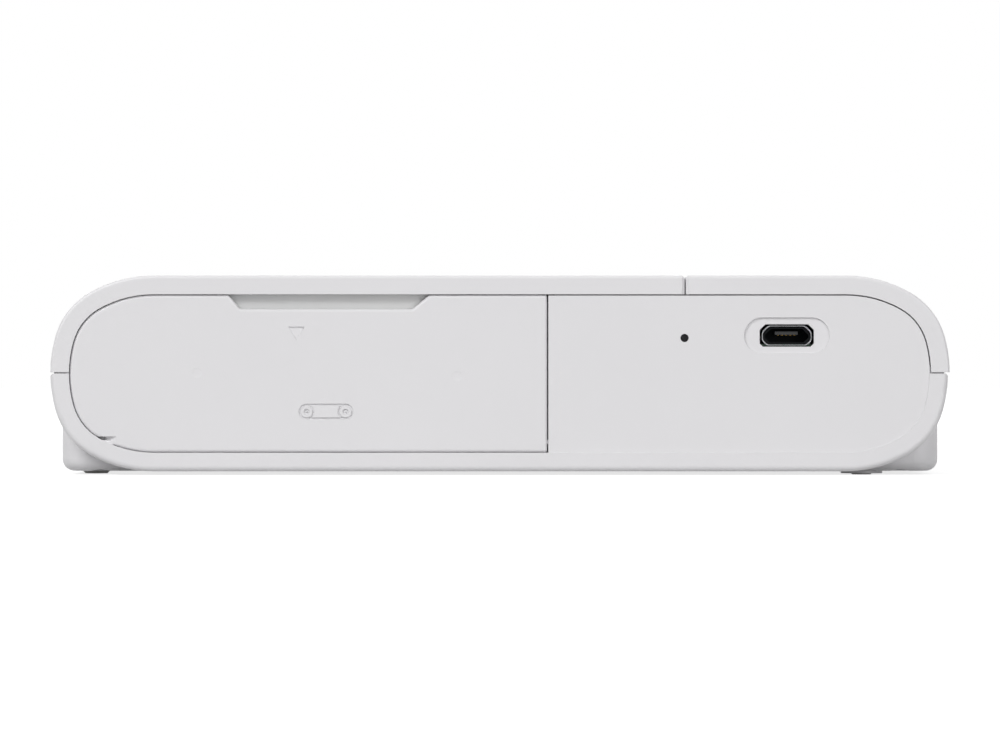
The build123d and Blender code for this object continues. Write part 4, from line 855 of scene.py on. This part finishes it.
def makeCaseScrews():
    settings = screwSettings
    screws = bmesh.new()
    cutters = []
    for x, y in settings["spots"]:
        for spot in ((x, -y), (x, y)):
            turned(screws, screwProfile(), (*spot, 0), (0, 0, 1), steps=32)
            for across in (settings["slot"], settings["slot"][::-1]):
                cutters.append(screwSlot(spot, *across))
    mesh = cutShape("caseScrews", screws, cutters)
    placePiece("caseScrews", mesh, "case", "steel", ["case_screws"], sharpAngle=30)


makeFeet()
makeCaseScrews()
print("feet and screws made")


# Power button: a cap with the plain on and off sign sunk into it
buttonSettings = {
    "spot": (47.0, -30.0),
    "top": 31.7,
    "signRadius": 1.55,
    "line": 0.34,
    "bar": (0.25, 2.0),     # from the sign's middle
    "gap": 70,              # degrees left open at the sign's top
    "steps": 40,            # round the sign
    "depth": 0.12,
}


def makePowerButton():
    settings = buttonSettings
    x, y = settings["spot"]
    radius, half, steps = settings["signRadius"], settings["line"] / 2, settings["steps"]
    bottom = settings["top"] - settings["depth"]
    opening = math.radians(settings["gap"] / 2)
    turns = [opening + (math.tau - 2 * opening) * step / steps for step in range(steps + 1)]
    arc = [polar(radius + half, turn) for turn in turns]
    arc += [polar(radius - half, turn) for turn in reversed(turns)]
    start, end = settings["bar"]
    cutters = []
    for outline in (arc, rectangle((-half, start), (half, end))):
        bm = bmesh.new()
        face = bm.faces.new([bm.verts.new(Vector((x + px, y + py, bottom)) * mm) for px, py in outline])
        drawOut(bm, [face], (0, 0, settings["depth"] + cutReach))
        cutters.append(bm)
    mesh = cutShape("powerButtonCap", copyOf("power_button"), cutters)
    placePiece("powerButtonCap", mesh, "power_key", "inner_grey", ["power_button"],
               sharpAngle=28)


makePowerButton()
print("power button made")


# Felt pads under the cover's inner frame
padSettings = {
    "distance": 16.0,
    "halfWidth": 4.0,
    "edge": 0.16,               # rounded by this radius
}


def makeFeltPads():
    low, high = [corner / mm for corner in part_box("pressure_pads")]
    for side, name in ((-1, "nearFeltPad"), (1, "farFeltPad")):
        middle = side * padSettings["distance"]
        reach = padSettings["halfWidth"]
        bm = box(bmesh.new(), (low.x, middle - reach, low.z), (high.x, middle + reach, high.z),
                 padSettings["edge"], segments=3)
        pad = placePiece(name, meshFrom(name, bm), "cover", "pad_foam", ["pressure_pads"],
                         sharpAngle=60)


# Feed tyres: moulded with fine ribs along the shaft
tyreSettings = {
    "spot": (18.0, 19.1),
    "radius": 3.6,
    "bore": 1.51,
    "ribs": 60,
    "ribDepth": 0.14,
    "ribShares": (0.08, 0.22, 0.78, 0.92),  # where a rib rises and falls, in its share of a turn
    "middles": (-16.0, 16.0),
    "length": 8.0,
}


def makeFeedTyres():
    settings = tyreSettings
    top, foot = settings["radius"], settings["radius"] - settings["ribDepth"]
    outer, inner = [], []
    for rib in range(settings["ribs"]):
        for share, reach in zip(settings["ribShares"], (foot, top, top, foot)):
            turn = (rib + share) * math.tau / settings["ribs"]
            outer.append(polar(reach, turn))
            inner.append(polar(settings["bore"], turn))
    bm = bmesh.new()
    for middle in settings["middles"]:
        y = (middle - settings["length"] / 2, middle + settings["length"] / 2)
        ringPrism(bm, outer, inner, settings["spot"], y)
    placePiece("feedTyres", meshFrom("feedTyres", bm), "feed", "roller_rubber", ["feed_tyres"],
               sharpAngle=20)


makeFeltPads()
makeFeedTyres()
print("pads and tyres made")


# Gears: moulded acetal, with the faces sunk between the hub and the rim
gearSettings = {
    "grip_gear": ("gripGear", "grip", 2.3, 3.6),     # piece, body, hub radius, rim's inner radius
    "feed_gear": ("feedGear", "feed", 2.3, 3.6),
    "take_up_gear": ("takeUpGear", "take_up_drive", 2.1, 3.6),
    "idler_gear": ("idlerGear", "idler", 1.4, 2.3),
    "compound_gear": ("compoundGear", "compound", 3.4, 5.6),
}
webDepth = 0.45
oneSided = ("compound_gear",)      # its other face carries the small gear


def makeGears():
    for nodeName, (name, body, hub, rim) in gearSettings.items():
        low, high = [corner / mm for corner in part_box(nodeName)]
        centre = ((low.x + high.x) / 2, (low.z + high.z) / 2)
        spans = [(high.y - webDepth, high.y + cutReach)]
        if nodeName not in oneSided:
            spans.append((low.y - cutReach, low.y + webDepth))
        cutters = [roundRing(rim, hub, centre, span) for span in spans]
        placePiece(name, cutShape(name, copyOf(nodeName), cutters), body, "natural_plastic", [nodeName],
                   sharpAngle=25)


makeGears()
print("gears made")


# Floor, backdrop and lights
studioSettings = {
    "floorReach": 6,
    "nearGlow": 0.74,       # what the floor adds for the camera, beside the object and far off
    "farGlow": 1.0,
    "glowReach": (0.12, 0.9),
    "bounce": "C8C8C8",
    "worldStrength": 0.24,
}


# 1 where the camera sees a surface, also by way of gloss or glass
def seenDirectly(tree):
    path = addNode(tree, "ShaderNodeLightPath")
    mirrored = addNode(tree, "ShaderNodeMath", {"operation": "MAXIMUM"},
                       {0: path.outputs["Is Glossy Ray"], 1: path.outputs["Is Transmission Ray"]})
    return addNode(tree, "ShaderNodeMath", {"operation": "MAXIMUM"},
                   {0: path.outputs["Is Camera Ray"], 1: mirrored.outputs["Value"]}).outputs["Value"]


def paperFloor():
    settings = studioSettings
    near, far = settings["glowReach"]
    material, tree = newTree("paperFloor")
    dull = addNode(tree, "ShaderNodeBsdfDiffuse", {"Color": linearColour(settings["bounce"])})
    distance = addNode(tree, "ShaderNodeVectorMath", {"operation": "LENGTH"}, {"Vector": objectPoint(tree)})
    strength = addNode(tree, "ShaderNodeMapRange",
                       {"From Min": near, "From Max": far,
                        "To Min": settings["nearGlow"], "To Max": settings["farGlow"]},
                       {"Value": distance.outputs["Value"]})
    seen = addNode(tree, "ShaderNodeMath", {"operation": "MULTIPLY"},
                   {0: seenDirectly(tree), 1: strength.outputs["Result"]})
    glow = addNode(tree, "ShaderNodeEmission", {"Color": (1, 1, 1, 1)}, {"Strength": seen.outputs["Value"]})
    both = addNode(tree, "ShaderNodeAddShader", links={0: dull.outputs["BSDF"], 1: glow.outputs["Emission"]})
    finishTree(tree, both.outputs["Shader"])
    return material


def makeFloor():
    bm = bmesh.new()
    bmesh.ops.create_grid(bm, x_segments=1, y_segments=1, size=studioSettings["floorReach"])
    mesh = bpy.data.meshes.new("studioFloor")
    bm.to_mesh(mesh)
    bm.free()
    mesh.materials.append(paperFloor())
    floor = bpy.data.objects.new("studioFloor", mesh)
    bpy.context.scene.collection.objects.link(floor)


def makeWorld():
    world = bpy.data.worlds.new("studioWorld")
    world.use_nodes = True
    tree = world.node_tree
    tree.nodes.clear()
    strength = addNode(tree, "ShaderNodeMapRange", {"To Min": studioSettings["worldStrength"], "To Max": 1.0},
                       {"Value": seenDirectly(tree)})
    light = addNode(tree, "ShaderNodeBackground", {"Color": (1, 1, 1, 1)},
                    {"Strength": strength.outputs["Result"]})
    addNode(tree, "ShaderNodeOutputWorld", links={"Surface": light.outputs["Background"]})
    bpy.context.scene.world = world


lightSettings = {
    "key": {"place": (-0.9, -1.3, 1.1), "size": 0.9, "power": 19.5},
    "fill": {"place": (1.0, -1.5, 0.5), "size": 1.2, "power": 9.5},
    "top": {"place": (0.0, 0.3, 1.6), "size": 1.2, "power": 5},
}
lightTarget = (0, 0, 0.015)     # the object's middle


def makeLights():
    for name, settings in lightSettings.items():
        data = bpy.data.lights.new(name + "Light", "AREA")
        data.size = settings["size"]
        data.energy = settings["power"]
        light = bpy.data.objects.new(name + "Light", data)
        bpy.context.scene.collection.objects.link(light)
        light.location = settings["place"]
        way = Vector(lightTarget) - light.location
        light.rotation_euler = way.to_track_quat("-Z", "Y").to_euler()


makeCamera()
makeFloor()
makeWorld()
makeLights()
bpy.context.scene.view_settings.view_transform = "Standard"
print("studio made")
